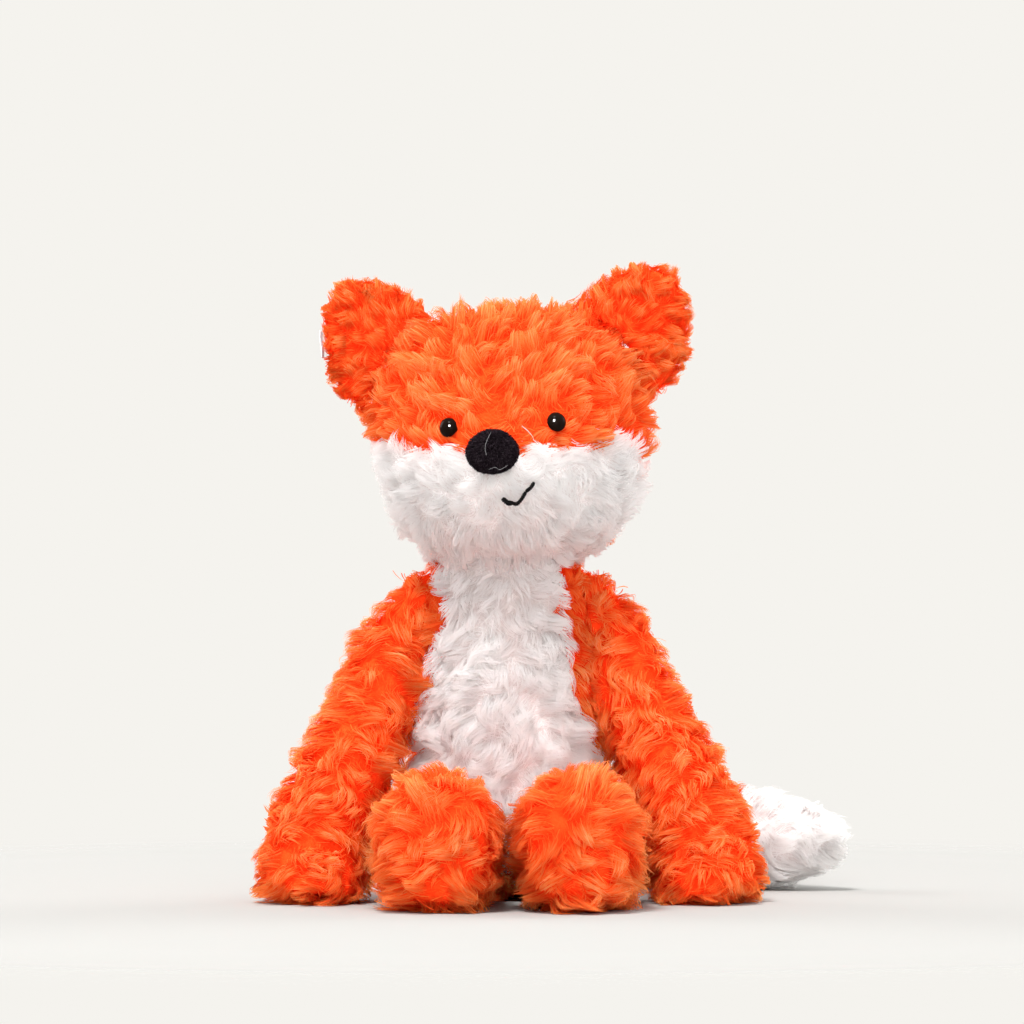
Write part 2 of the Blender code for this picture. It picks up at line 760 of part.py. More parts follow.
def build_tag(place, panel):
    # A folded strip sewn in at the rim of the right ear, lying against its outer edge
    surface = BVHTree.FromObject(panel, bpy.context.evaluated_depsgraph_get())
    rim, outward = surface.ray_cast(Vector((-EAR_WIDTH, GAP, TAG_RISE)), Vector((1, 0, 0)))[:2]
    outward = Vector((outward.x, 0, outward.z)).normalized()
    along = outward.cross(Vector((0, 1, 0)))
    turn = Matrix((outward, (0, 1, 0), along)).transposed().to_4x4()
    middle = rim + outward * (TAG_THICKNESS / 2 + GAP) + Vector((0, TAG_WIDTH / 2, 0))

    def build(shape):
        bmesh.ops.create_cube(shape, size=1)
        bmesh.ops.scale(shape, vec=(TAG_THICKNESS, TAG_WIDTH, TAG_LENGTH), verts=shape.verts)

    tag = add_object("ear_tag", mesh_from("ear_tag", build), toy, place @ Matrix.Translation(middle) @ turn)
    soften = tag.modifiers.new("soften", "BEVEL")
    soften.width = TAG_THICKNESS / 4
    soften.segments = 1
    return dress(tag, grey_cloth)


clear_scene()
toy = add_collection("plush_fox")
cutters = add_collection("cutters")

orange_fur = material("orange_fur", (0.90, 0.16, 0.03), 0.95)
white_fur = material("white_fur", (0.88, 0.85, 0.84), 0.95)
black_plastic = material("black_plastic", (0.01, 0.01, 0.01), 0.08)
black_velvet = material("black_velvet", (0.02, 0.02, 0.02), 0.95)
grey_plastic = material("grey_plastic", (0.45, 0.45, 0.44), 0.6)
grey_cloth = material("grey_cloth", (0.36, 0.34, 0.35), 0.85)
fibre = material("fibre", (0.86, 0.86, 0.84), 0.95)
pellet_cloth = material("pellet_cloth", (0.80, 0.80, 0.78), 0.9)

floor_reach = (TAIL_REACH + LEG_LENGTH + TORSO_DEPTH) * 2
below_floor = add_cutter("below_floor", box_mesh(
    "below_floor", (-floor_reach, -floor_reach, -floor_reach), (floor_reach, floor_reach, 0)
))

neck_reach = (TORSO_WIDTH + PAW_WIDTH) * 2
above_neck = add_cutter("above_neck", box_mesh(
    "above_neck", (-neck_reach, -neck_reach, NECK_HEIGHT - GAP / 2), (neck_reach, neck_reach, NECK_HEIGHT * 2)
))

torso_solid = torso_form()
head_solid = head_form()
bpy.context.view_layer.update()

build_torso(torso_solid)
add_pivot("neck_pivot", neck_pivot(), build_head(head_solid))
leg_outer_side = LEG_SPACING / 2 + LEG_WIDTH
for side_name in SIDES:
    ear, ear_frame = build_ear(side_name, head_solid)
    if side_name == "right":
        ear.append(build_tag(ear_frame, ear[1]))
    add_pivot(f"ear_{side_name}_pivot", ear_frame.translation, ear)
    arm, arm_pivot = build_arm(side_name, torso_solid, head_solid, leg_outer_side)
    add_pivot(f"arm_{side_name}_pivot", arm_pivot, arm)
    leg, leg_pivot = build_leg(side_name, torso_solid)
    add_pivot(f"leg_{side_name}_pivot", leg_pivot, leg)
tail, tail_pivot = build_tail(torso_solid)
add_pivot("tail_pivot", tail_pivot, tail)
bpy.context.view_layer.update()

for obj in toy.objects:
    if obj.type == "EMPTY":
        print(obj.name, [round(value, 5) for value in obj.matrix_world.translation])
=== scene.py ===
# Sitting plush fox: stuffed forms, long wavy pile in locks, velvet nose, domed eyes and a thread mouth
import json
import math

import bmesh
import bpy
import numpy as np
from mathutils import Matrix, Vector, kdtree, noise
from mathutils.bvhtree import BVHTree


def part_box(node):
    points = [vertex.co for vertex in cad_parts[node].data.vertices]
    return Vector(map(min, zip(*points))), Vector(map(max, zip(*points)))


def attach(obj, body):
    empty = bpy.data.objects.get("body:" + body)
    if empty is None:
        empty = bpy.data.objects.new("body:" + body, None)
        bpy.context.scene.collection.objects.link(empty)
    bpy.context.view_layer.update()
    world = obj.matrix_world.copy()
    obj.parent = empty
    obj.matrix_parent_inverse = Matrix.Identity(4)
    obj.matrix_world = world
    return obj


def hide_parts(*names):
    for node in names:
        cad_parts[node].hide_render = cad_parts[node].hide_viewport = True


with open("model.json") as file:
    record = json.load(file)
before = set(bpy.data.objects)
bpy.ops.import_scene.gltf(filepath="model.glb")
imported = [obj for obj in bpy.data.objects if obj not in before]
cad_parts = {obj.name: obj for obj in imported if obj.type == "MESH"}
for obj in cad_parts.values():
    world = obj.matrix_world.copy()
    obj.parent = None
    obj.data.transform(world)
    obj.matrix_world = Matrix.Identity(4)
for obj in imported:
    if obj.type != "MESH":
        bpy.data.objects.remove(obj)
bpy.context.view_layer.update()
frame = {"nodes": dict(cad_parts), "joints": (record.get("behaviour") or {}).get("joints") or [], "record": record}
scene = bpy.context.scene
print("model loaded:", len(frame["nodes"]), "nodes")


# Shader sums
class Wire:  # one socket, so that shader maths reads as plain sums
    def __init__(self, finish, socket):
        self.finish, self.socket = finish, socket

    def sum(self, operation, other):
        return self.finish.add("ShaderNodeMath", {"operation": operation}, {0: self, 1: other})

    def __add__(self, other):
        return self.sum("ADD", other)

    def __mul__(self, other):
        return self.sum("MULTIPLY", other)


class Finish:  # a material, or the world, with its nodes
    def __init__(self, name, owner=None):
        self.owner = owner or bpy.data.materials.new(name)
        self.owner.use_nodes = True
        self.tree = self.owner.node_tree
        self.tree.nodes.clear()

    def add(self, kind, settings=None, values=None, out=0):
        node = self.tree.nodes.new(kind)
        for name, value in (settings or {}).items():
            if name == "stops":
                ramp = node.color_ramp
                while len(ramp.elements) < len(value):
                    ramp.elements.new(0.5)
                for element, (place, colour) in zip(ramp.elements, value):
                    element.position, element.color = place, (*colour, 1)
            else:
                setattr(node, name, value)
        for name, value in (values or {}).items():
            if isinstance(value, Wire):
                self.tree.links.new(value.socket, node.inputs[name])
            else:
                node.inputs[name].default_value = value
        return Wire(self, node.outputs[out]) if node.outputs else None

    def mixed(self, factor, first, second):  # colours
        first, second = [(*c, 1) if isinstance(c, tuple) and len(c) == 3 else c for c in (first, second)]
        return self.add("ShaderNodeMix", {"data_type": "RGBA"}, {0: factor, 6: first, 7: second}, 2)

    def surface(self, **values):
        named = {name.replace("_", " "): value for name, value in values.items()}
        if isinstance(named.get("Base Color"), tuple):
            named["Base Color"] = (*named["Base Color"], 1)
        shader = self.add("ShaderNodeBsdfPrincipled", None, named)
        self.add("ShaderNodeOutputMaterial", None, {"Surface": shader})
        return self.owner


# Finishes
def furFinish(name, stops, tip, through):  # one tone a strand, with painted shade: darker low in the pile and paler towards its tip
    finish = Finish(name)
    strand = finish.add("ShaderNodeUVMap", {"uv_map": "OFBake"})
    tone = finish.add("ShaderNodeSeparateXYZ", None, {0: strand}, 0)
    depth = finish.add("ShaderNodeSeparateXYZ", None, {0: strand}, 1)
    # painted shade: the second map value is the strand's height in the pile, and tip is its share in the colour
    value = tone * (1 - tip) + depth * tip
    colour = finish.add("ShaderNodeValToRGB", {"stops": stops}, {0: value})
    if not through:
        return finish.surface(Base_Color=colour, Roughness=0.9, Specular_IOR_Level=0.0)
    front = finish.add("ShaderNodeBsdfPrincipled", None,
                       {"Base Color": colour, "Roughness": 0.8, "Specular IOR Level": 0.0})
    behind = finish.add("ShaderNodeBsdfTranslucent", None, {"Color": colour})
    both = finish.add("ShaderNodeMixShader", None, {0: through, 1: front, 2: behind})
    finish.add("ShaderNodeOutputMaterial", None, {"Surface": both})
    return finish.owner


# the ramps' dark ends give both the strands' own darker tones and the painted shade deep in the pile and under the
# chin
orangeTones = {"tip": 0.48, "through": 0.62,
               "stops": ((0.0, (1.0, 0.062, 0.010)), (0.28, (1.0, 0.155, 0.026)), (0.50, (1.0, 0.270, 0.058)),
                         (0.74, (1.0, 0.410, 0.125)), (1.0, (1.0, 0.600, 0.250)))}
whiteTones = {"tip": 0.42, "through": 0.60,
              "stops": ((0.0, (0.84, 0.765, 0.745)), (0.30, (0.965, 0.94, 0.935)),
                        (0.60, (0.985, 0.975, 0.97)), (1.0, (0.99, 0.985, 0.98)))}
# the nap's paler, purplish top end is a painted sheen on the velvet
velvetTones = {"tip": 0.4, "through": 0.0,
               "stops": ((0.0, (0.002, 0.001, 0.002)), (0.5, (0.008, 0.005, 0.007)),
                         (1.0, (0.045, 0.034, 0.040)))}
orangeFur = furFinish("orangeFur", **orangeTones)
whiteFur = furFinish("whiteFur", **whiteTones)
velvetNap = furFinish("velvetNap", **velvetTones)
backing = {"knit": 900.0, "cloud": 140.0, "strength": 0.5, "depth": 0.0006}


def backingFinish(name, dark, light):  # the knitted backing that the pile is locked in, darkened as painted shade so that it reads as depth between the locks
    finish = Finish(name)
    place = finish.add("ShaderNodeTexCoord", None, None, 3)
    knit = finish.add("ShaderNodeTexVoronoi", None, {"Vector": place, "Scale": backing["knit"]}, 0)
    cloud = finish.add("ShaderNodeTexNoise", None,
                       {"Vector": place, "Scale": backing["cloud"], "Detail": 3.0}, 0)
    colour = finish.mixed(cloud, dark, light)
    bump = finish.add("ShaderNodeBump", None,
                      {"Strength": backing["strength"], "Distance": backing["depth"], "Height": knit})
    return finish.surface(Base_Color=colour, Roughness=0.9, Specular_IOR_Level=0.0, Normal=bump)


# painted shade: both backings are darker than their pile, so bare gaps show as shadow
orangeBackingShaded = backingFinish("orangeBackingShaded", (0.90, 0.050, 0.007), (0.97, 0.085, 0.014))
whiteBackingShaded = backingFinish("whiteBackingShaded", (0.79, 0.73, 0.72), (0.86, 0.82, 0.81))


def plainFinish(name, dark, light, scale, **values):  # two close tones in a fine cloud
    finish = Finish(name)
    place = finish.add("ShaderNodeTexCoord", None, None, 3)
    cloud = finish.add("ShaderNodeTexNoise", None, {"Vector": place, "Scale": scale, "Detail": 3.0}, 0)
    return finish.surface(Base_Color=finish.mixed(cloud, dark, light), **values)


eyeGloss = plainFinish("eyeGloss", (0.006, 0.003, 0.002), (0.012, 0.007, 0.005), 90.0,
                       Roughness=0.04, Specular_IOR_Level=0.03)
threadBlack = plainFinish("threadBlack", (0.006, 0.006, 0.006), (0.014, 0.013, 0.013), 1500.0,
                          Roughness=0.8, Specular_IOR_Level=0.0)
washerGrey = plainFinish("washerGrey", (0.40, 0.40, 0.39), (0.47, 0.47, 0.46), 300.0, Roughness=0.5)
velvetCloth = plainFinish("velvetCloth", (0.002, 0.002, 0.002), (0.006, 0.005, 0.005), 500.0,
                          Roughness=0.95, Specular_IOR_Level=0.0)
lintGrey = plainFinish("lintGrey", (0.07, 0.065, 0.07), (0.16, 0.15, 0.15), 400.0, Roughness=0.8)
tagWeave = {"threads": 9000.0, "strength": 0.4, "depth": 0.0002,
            "dark": (0.30, 0.28, 0.30), "light": (0.42, 0.39, 0.41)}


def tagFinish():
    finish = Finish("tagCloth")
    place = finish.add("ShaderNodeTexCoord", None, None, 3)
    across = finish.add("ShaderNodeSeparateXYZ", None, {0: place}, 2)
    along = finish.add("ShaderNodeSeparateXYZ", None, {0: place}, 1)
    warp = finish.add("ShaderNodeMath", {"operation": "SINE"}, {0: across * tagWeave["threads"]})
    weft = finish.add("ShaderNodeMath", {"operation": "SINE"}, {0: along * tagWeave["threads"]})
    weave = (warp * weft) * 0.5 + 0.5
    bump = finish.add("ShaderNodeBump", None,
                      {"Strength": tagWeave["strength"], "Distance": tagWeave["depth"], "Height": weave})
    return finish.surface(Base_Color=finish.mixed(weave, tagWeave["dark"], tagWeave["light"]),
                          Roughness=0.7, Normal=bump)


tagCloth = tagFinish()
print("finishes made")

# Forms
weldGap = 1e-6


def readAll(things, name, kind=np.float32):  # three values for each thing
    values = np.empty(len(things) * 3, kind)
    things.foreach_get(name, values)
    return values.reshape(-1, 3)


def meshFrom(name, shape):
    mesh = bpy.data.meshes.new(name)
    shape.to_mesh(mesh)
    shape.free()
    return mesh


def weldedMesh(name, nodes):  # a copy of the nodes' shapes with their corners joined
    shape = bmesh.new()
    for node in nodes:
        shape.from_mesh(frame["nodes"][node].data)
    bmesh.ops.remove_doubles(shape, verts=shape.verts, dist=weldGap)
    return meshFrom(name, shape)


class Ground:  # the skin of a closed form: nearest places and smooth normals on it
    blur, tries = 0.0004, 7  # softens a corner's weight; places tried for each one kept

    def __init__(self, mesh):
        mesh.calc_loop_triangles()
        self.points = readAll(mesh.vertices, "co")
        self.faces = readAll(mesh.loop_triangles, "vertices", np.int32)
        self.normals = readAll(mesh.vertices, "normal")
        self.tree = BVHTree.FromPolygons(self.points.tolist(), self.faces.tolist())

    def smooth(self, faces, places):  # the corners' normals, weighed by nearness
        corners = self.points[self.faces[faces]]
        weight = 1 / (np.linalg.norm(corners - places[:, None], axis=2) + self.blur)
        normal = (self.normals[self.faces[faces]] * weight[:, :, None]).sum(1)
        return normal / np.linalg.norm(normal, axis=1)[:, None]

    def drop(self, points):
        places, faces = np.empty_like(points), np.empty(len(points), np.int32)
        for i, point in enumerate(points):
            place, _, face, _ = self.tree.find_nearest(point)
            places[i], faces[i] = place, face
        return places, self.smooth(faces, places)

    def scatter(self, spacing, rng):  # evenly scattered places, none nearer than the spacing
        corners = self.points[self.faces]
        cross = np.cross(corners[:, 1] - corners[:, 0], corners[:, 2] - corners[:, 0])
        area = np.linalg.norm(cross, axis=1) / 2
        count = int(area.sum() / spacing ** 2 * self.tries)
        faces = rng.choice(len(area), count, p=area / area.sum())
        a, b = rng.random(count), rng.random(count)
        a, b = np.where(a + b > 1, 1 - a, a)[:, None], np.where(a + b > 1, 1 - b, b)[:, None]
        corners = corners[faces]
        places = corners[:, 0] * (1 - a - b) + corners[:, 1] * a + corners[:, 2] * b
        near = kdtree.KDTree(count)
        for i, place in enumerate(places):
            near.insert(place, i)
        near.balance()
        free = np.ones(count, bool)
        kept = []
        for i in range(count):
            if free[i]:
                kept.append(i)
                for _, other, _ in near.find_range(places[i], spacing):
                    free[other] = False
        kept = np.array(kept)
        return places[kept].astype(np.float32), self.smooth(faces[kept], places[kept])


def shown(name, mesh, finishes):
    piece = bpy.data.objects.new(name, mesh)
    scene.collection.objects.link(piece)
    for finish in finishes:
        mesh.materials.append(finish)
    return piece


def settled(piece):  # the piece's mesh with its modifiers worked in
    bpy.context.view_layer.update()
    made = bpy.data.meshes.new_from_object(piece.evaluated_get(bpy.context.evaluated_depsgraph_get()))
    piece.modifiers.clear()
    old, piece.data = piece.data, made
    bpy.data.meshes.remove(old)
    return piece


def treeOf(nodes):
    places, faces = [], []
    for node in nodes:
        data = frame["nodes"][node].data
        start = len(places)
        places += [v.co.copy() for v in data.vertices]
        faces += [[start + v for v in p.vertices] for p in data.polygons]
    return BVHTree.FromPolygons(places, faces)


def gapTo(tree, points, reach):  # how far each point is from a neighbour, up to the reach
    gaps = (tree.find_nearest(point, reach)[3] for point in points)
    return np.array([reach if gap is None else gap for gap in gaps])


sewnOn = {"reach": 0.008, "touching": 0.0004, "clear": 0.0032}  # gaps to a neighbour
onFloor = {"height": 0.030, "fade": 1.5, "steepest": 0.6, "sink": 0.005}


def stuffedForm(form):
    pad = shown(form["pad"], weldedMesh(form["pad"], form["joined"]), [])
    remesh = pad.modifiers.new("remesh", "REMESH")
    remesh.mode, remesh.voxel_size = "VOXEL", form["voxel"]
    soften = pad.modifiers.new("soften", "SMOOTH")
    soften.factor, soften.iterations = 0.5, form["soften"]
    settled(pad)
    # the skin goes in by the pile's depth, but not where a neighbour is sewn on
    own = set(frame["record"]["behaviour"]["bodies"][form["body"]])
    around = treeOf([node for node in frame["nodes"] if node not in own])
    points, normals = (readAll(pad.data.vertices, name) for name in ("co", "normal"))
    gap = gapTo(around, points, sewnOn["reach"])
    share = np.clip((gap - sewnOn["touching"]) / sewnOn["clear"], 0, 1)
    share = share * share * (3 - 2 * share)
    depth = share * form["inset"]
    for place, reach, more in form.get("slimmer", ()):
        depth += more * np.exp(-(np.linalg.norm(points - np.array(place), axis=1) / reach) ** 2)
    points -= normals * depth[:, None]
    # a limb that rests on the floor has settled there, so its sides stand steeper
    outward = normals * np.array((1.0, 1.0, 0.0))
    outward /= np.maximum(np.linalg.norm(outward, axis=1), onFloor["steepest"])[:, None]
    low = np.clip(1 - points[:, 2] / onFloor["height"], 0, 1) ** onFloor["fade"]
    aside, ahead = form.get("settled", (0.0, 0.0))
    spread = np.where(outward[:, 1] < 0, aside + (ahead - aside) * outward[:, 1] ** 2, aside)
    points += outward * (low * share * spread)[:, None]
    points[:, 2] -= low * share * (onFloor["sink"] if "settled" in form else 0.0)
    pad.data.vertices.foreach_set("co", points.astype(np.float32).ravel())
    ease = pad.modifiers.new("ease", "SMOOTH")
    ease.factor, ease.iterations = 0.5, 3
    settled(pad)
    pad.data.shade_smooth()
    return pad, around


# Pile
def flat(vectors, ups):
    vectors = vectors - ups * (vectors * ups).sum(1)[:, None]
    return vectors / np.maximum(np.linalg.norm(vectors, axis=1), 1e-9)[:, None]


def turned(vectors, ups, angles):
    return vectors * np.cos(angles)[:, None] + np.cross(ups, vectors) * np.sin(angles)[:, None]


def cowlicked(licks, roots, ways):  # a few locks stand out their own way: place, way, reach, growth
    growth = np.zeros(len(roots))
    for place, way, reach, more in licks:
        weight = np.exp(-(np.linalg.norm((roots - np.array(place))[:, [0, 2]], axis=1) / reach) ** 2)
        aim = np.array(way, float)
        ways = ways * (1 - weight)[:, None] + aim / np.linalg.norm(aim) * weight[:, None]
        growth = np.maximum(growth, weight * more)
    return ways, growth


# the short strands that fill the ground beneath each lock
underfur = {"length": 0.6, "height": 0.8, "spread": 2.6, "along": (-1.1, 0.7), "rise": 1.5, "level": 0.7}
# strands near the floor point down no more than this, and none goes through it
floorPile = {"height": 0.016, "down": -0.12, "lowest": 0.0004}
# a strand is flat, with two quads and a tip: widths, then the points and rows of its corners
ribbon = {"widths": (0.9, 1.0, 0.72, 0.0), "corners": (0, 1, 3, 2, 2, 3, 5, 4, 4, 5, 6), "faces": (0, 4, 8),
          "sides": (-1, 1, 1, -1, -1, 1, 1, -1, -1, 1, 0), "rows": (0, 0, 1, 1, 1, 1, 2, 2, 2, 2, 3)}


def growFur(look, ground, roots, ups, comb, trim, clear, seed, squeezed=1.0):
    rng = np.random.default_rng(seed)
    count, strands, wisps = len(roots), look["strands"], look["wisps"]
    lengthShare, liftShare, shade = trim(roots)
    ways = comb(roots, ups)
    ways, growth = cowlicked(look.get("cowlicks", ()), roots, ways / np.linalg.norm(ways, axis=1)[:, None])
    lengthShare, liftShare = lengthShare * (0.72 + 0.28 * squeezed) * (1 + growth), liftShare * squeezed
    reach = look["length"] * lengthShare * rng.uniform(0.78, 1.2, count)
    swell = np.array([noise.noise(Vector(p) * look["swellScale"] + Vector((0, seed, 0))) for p in roots])
    tall = np.clip(rng.normal(1, look["uneven"], count) + swell * look["swell"], 0.6, 1.4)
    lift = look["lift"] * liftShare
    flick = look["flick"] * liftShare * (rng.random(count) ** 4 + growth)
    swirl = np.array([noise.noise(Vector(p) * look["swirlScale"] + Vector((seed, 0, 0))) for p in roots])
    own, swirl = rng.normal(0, look["stray"], count) * (1 - 0.7 * growth), swirl * np.clip(1 - growth, 0, 1)
    bend = rng.normal(0, look["bend"], count)
    ahead = turned(flat(ways, ups), ups, swirl * look["swirl"] + own)
    place, up = roots, ups
    places, uppers, aheads = [place], [up], [ahead]
    for _ in range(3):  # the middle line of every lock is laid over the form
        place, up = ground.drop(place + ahead * (reach / 3)[:, None])
        ahead = flat(turned(ahead, up, bend / 3), up)
        places.append(place)
        uppers.append(up)
        aheads.append(ahead)
    places, uppers, aheads = (np.stack(x, 1) for x in (places, uppers, aheads))

    # each lock swells over its own middle and dips to a crevice where the next one begins
    centres = places[:, 1] * 0.5 + places[:, 2] * 0.5
    near = kdtree.KDTree(count)
    for i, place in enumerate(centres):
        near.insert(place, i)
    near.balance()
    close = np.array([[j for _, j, _ in near.find_n(place, 9)] for place in centres])
    depth = rng.uniform(look["crevice"] * 0.5, look["crevice"], count)

    size = (count, strands)
    lock = np.repeat(np.arange(count), strands).reshape(size)
    wisp = np.tile(np.arange(strands) % wisps, (count, 1))
    wispAcross = (np.arange(wisps) + 0.5) / wisps * 2 - 1 + rng.normal(0, 0.12, (count, wisps))
    wispAlong = rng.uniform(-0.7, 0.7, (count, wisps))
    wispLength = rng.uniform(0.72, 1.0, (count, wisps))
    wispLift = rng.normal(0, 0.12, (count, wisps))
    across = np.take_along_axis(wispAcross, wisp, 1)
    fan = np.clip(rng.normal(look["fan"], 0.35, count), -0.8, 0.9)[:, None]
    looseA, looseB = rng.normal(0, 0.26, size), rng.normal(0, 0.26, size)
    radius = (look["radius"] * np.sqrt(lengthShare))[:, None] * np.ones(size)
    along = (np.take_along_axis(wispAlong, wisp, 1) + looseA) * radius
    share = (1 - 0.22 * across ** 2) * np.take_along_axis(wispLength, wisp, 1) * rng.uniform(0.82, 1.05, size)
    tallness = (1 - look["dome"] * np.clip(across, -1.1, 1.1) ** 2 + np.take_along_axis(wispLift, wisp, 1)
                + rng.normal(0, 0.06, size))
    under = rng.random(size) < look["under"]
    share = np.where(under, share * underfur["length"], share)
    tallness = np.where(under, tallness * underfur["height"], tallness)
    looseB = np.where(under, looseB * underfur["spread"], looseB)
    along = np.where(under, rng.uniform(*underfur["along"], size) * radius, along)
    wave = rng.normal(0, 0.35, (count, wisps))
    wave = np.take_along_axis(wave, wisp, 1) + rng.normal(0, 0.12, size)

    points, sides, tops, depthShades = [], [], [], []
    for t, rise in look["rise"]:
        u = np.clip(t * share, 0, 0.9999) * 3
        low = u.astype(int)
        part = (u - low)[:, :, None]
        q = places[lock, low] * (1 - part) + places[lock, low + 1] * part
        n = uppers[lock, low] * (1 - part) + uppers[lock, low + 1] * part
        d = aheads[lock, low] * (1 - part) + aheads[lock, low + 1] * part
        n /= np.linalg.norm(n, axis=2)[:, :, None]
        s = np.cross(d, n)
        s /= np.linalg.norm(s, axis=2)[:, :, None]
        over = across * (1 + fan * t * t) + looseB * (1 - 0.75 * t) + wave * (t * (1 - t))
        spot = q + d * along[:, :, None] + s * (over * radius)[:, :, None]
        away = np.linalg.norm(spot[:, :, None] - centres[close][:, None], axis=3)
        first = away.argmin(2)
        away = np.take_along_axis(away, first[:, :, None], 2)[:, :, 0]
        dip = depth[np.take_along_axis(close, first, 1)] * np.clip(away / look["swellRadius"], 0, 1.3) ** 2.2
        level = np.where(under, min(t * underfur["rise"], underfur["level"]), rise) * tallness
        level *= tall[:, None] * np.maximum(1 - dip, 0.05)
        high = lift[:, None] * level + flick[:, None] * t * t
        # painted shade: each point's colour follows its height in the pile, darkest at the roots and in the
        # crevices between locks
        depthShades.append(np.clip(level / 1.25, 0.0, 0.97) + 0.004 + t * 0.02)
        out = n.copy()  # near the floor the pile spreads sideways
        nearFloor = spot[:, :, 2] < floorPile["height"]
        out[:, :, 2] = np.where(nearFloor, np.maximum(out[:, :, 2], floorPile["down"]), out[:, :, 2])
        out /= np.linalg.norm(out, axis=2)[:, :, None]
        points.append(spot + out * high[:, :, None])
        sides.append(s)
        round_ = n + s * (across * look["round"])[:, :, None] - d * (0.25 - 0.5 * t)
        tops.append(round_ / np.linalg.norm(round_, axis=2)[:, :, None])
    points, sides, tops = (np.stack(x, 2).reshape(-1, 4, 3) for x in (points, sides, tops))
    depthShades = np.stack(depthShades, 2).reshape(-1, 4)
    points[:, :, 2] = np.maximum(points[:, :, 2], floorPile["lowest"])
    tone = np.clip(0.5 + look.get("paler", 0.0) + (shade + rng.normal(0, look["lockTone"], count))[:, None]
                   + rng.normal(0, look["wispTone"], (count, wisps))[lock, wisp]
                   + rng.normal(0, look["strandTone"], size), 0.06, 0.94).reshape(-1)
    keep = clear(points)
    points, sides, tops, tone, depthShades = (x[keep] for x in (points, sides, tops, tone, depthShades))

    width = look["width"] * rng.uniform(0.7, 1.25, len(points))
    along = np.stack([points[:, 1] - points[:, 0], points[:, 2] - points[:, 0],
                      points[:, 3] - points[:, 1], points[:, 3] - points[:, 2]], 1)
    along /= np.maximum(np.linalg.norm(along, axis=2), 1e-9)[:, :, None]
    roll = rng.uniform(-look["roll"], look["roll"], len(points))[:, None, None]
    side = np.cross(along, tops)
    side /= np.maximum(np.linalg.norm(side, axis=2), 1e-9)[:, :, None]
    top = np.cross(side, along)
    side, top = side * np.cos(roll) + top * np.sin(roll), top * np.cos(roll) - side * np.sin(roll)
    half = (width[:, None] * np.array(ribbon["widths"]) / 2)[:, :, None]
    total = len(points)
    corners = np.empty((total, 7, 3), np.float32)
    corners[:, 0:6:2] = (points - side * half)[:, :3]
    corners[:, 1:6:2] = (points + side * half)[:, :3]
    corners[:, 6] = points[:, 3]
    soft = tops * look["soft"] + top * (1 - look["soft"])
    soft /= np.linalg.norm(soft, axis=2)[:, :, None]
    normals = np.empty((total, 7, 3), np.float32)
    normals[:, 0:6:2] = normals[:, 1:6:2] = soft[:, :3]
    normals[:, 6] = soft[:, 3]

    mesh = bpy.data.meshes.new(look["piece"])
    mesh.vertices.add(total * 7)
    mesh.vertices.foreach_set("co", corners.reshape(-1))
    ring = np.arange(total)[:, None] * 7 + np.array(ribbon["corners"])
    starts = np.arange(total)[:, None] * 11 + np.array(ribbon["faces"])
    mesh.loops.add(total * 11)
    mesh.loops.foreach_set("vertex_index", ring.astype(np.int32).reshape(-1))
    mesh.polygons.add(total * 3)
    mesh.polygons.foreach_set("loop_start", starts.astype(np.int32).reshape(-1))
    mesh.polygons.foreach_set("use_smooth", np.ones(total * 3, bool))
    mesh.update(calc_edges=True)
    strip = mesh.uv_layers.new(name="OFBake")
    uv = np.empty((total, 11, 2), np.float32)
    uv[:, :, 0] = tone[:, None] + np.array(ribbon["sides"]) * 0.05
    # painted shade by height in the pile
    uv[:, :, 1] = depthShades[:, ribbon["rows"]]
    strip.data.foreach_set("uv", uv.reshape(-1))
    mesh.normals_split_custom_set_from_vertices(normals.reshape(-1, 3))
    return mesh


def onPanels(places, ups, nodes):  # which of the panels lies outermost over each place
    trees = [treeOf([node]) for node in nodes]
    found = np.zeros(len(places), int)
    for i, (place, up) in enumerate(zip(places, ups)):
        start, down = Vector(place + up * 0.02), -Vector(up)
        hits = [tree.ray_cast(start, down, 0.04)[3] for tree in trees]
        hits = [9.0 if hit is None else hit for hit in hits]
        if min(hits) > 8:
            hits = [tree.find_nearest(place)[3] for tree in trees]
        found[i] = int(np.argmin(hits))
    return found


def byFaceLine(owner, roots, line):
    line = np.array(line)
    front = roots[:, 1] < 0.0
    height = np.interp(roots[:, 0], line[:, 0], line[:, 1])
    return np.where(front, (roots[:, 2] < height).astype(int), owner)


def byBellyLine(owner, roots, line):
    line = np.array(line)
    low, high = (np.interp(roots[:, 2], line[:, 0], line[:, k]) for k in (1, 2))
    aside = (roots[:, 0] < low) | (roots[:, 0] > high)
    return np.where(aside, 0, owner)


def allClear(points):
    return np.ones(len(points), bool)


def fullTrim(points):  # fuller where it spreads on the floor
    low = np.clip(1 - points[:, 2] / 0.018, 0, 1)
    return 1 + 0.15 * low, 1 + 0.5 * low, np.zeros(len(points))


def alongLine(line):  # combs along a line of points
    line = np.array(line)
    start, step = line[:-1], line[1:] - line[:-1]

    def comb(points, ups):
        part = ((points[:, None] - start) * step).sum(2) / (step ** 2).sum(1)
        part = np.clip(part, 0, 1)
        gap = np.linalg.norm(points[:, None] - (start + step * part[:, :, None]), axis=2)
        weight = np.exp(-((gap - gap.min(1)[:, None]) / 0.006))
        way = (step / np.linalg.norm(step, axis=1)[:, None])[None] * weight[:, :, None]
        return way.sum(1)

    return comb


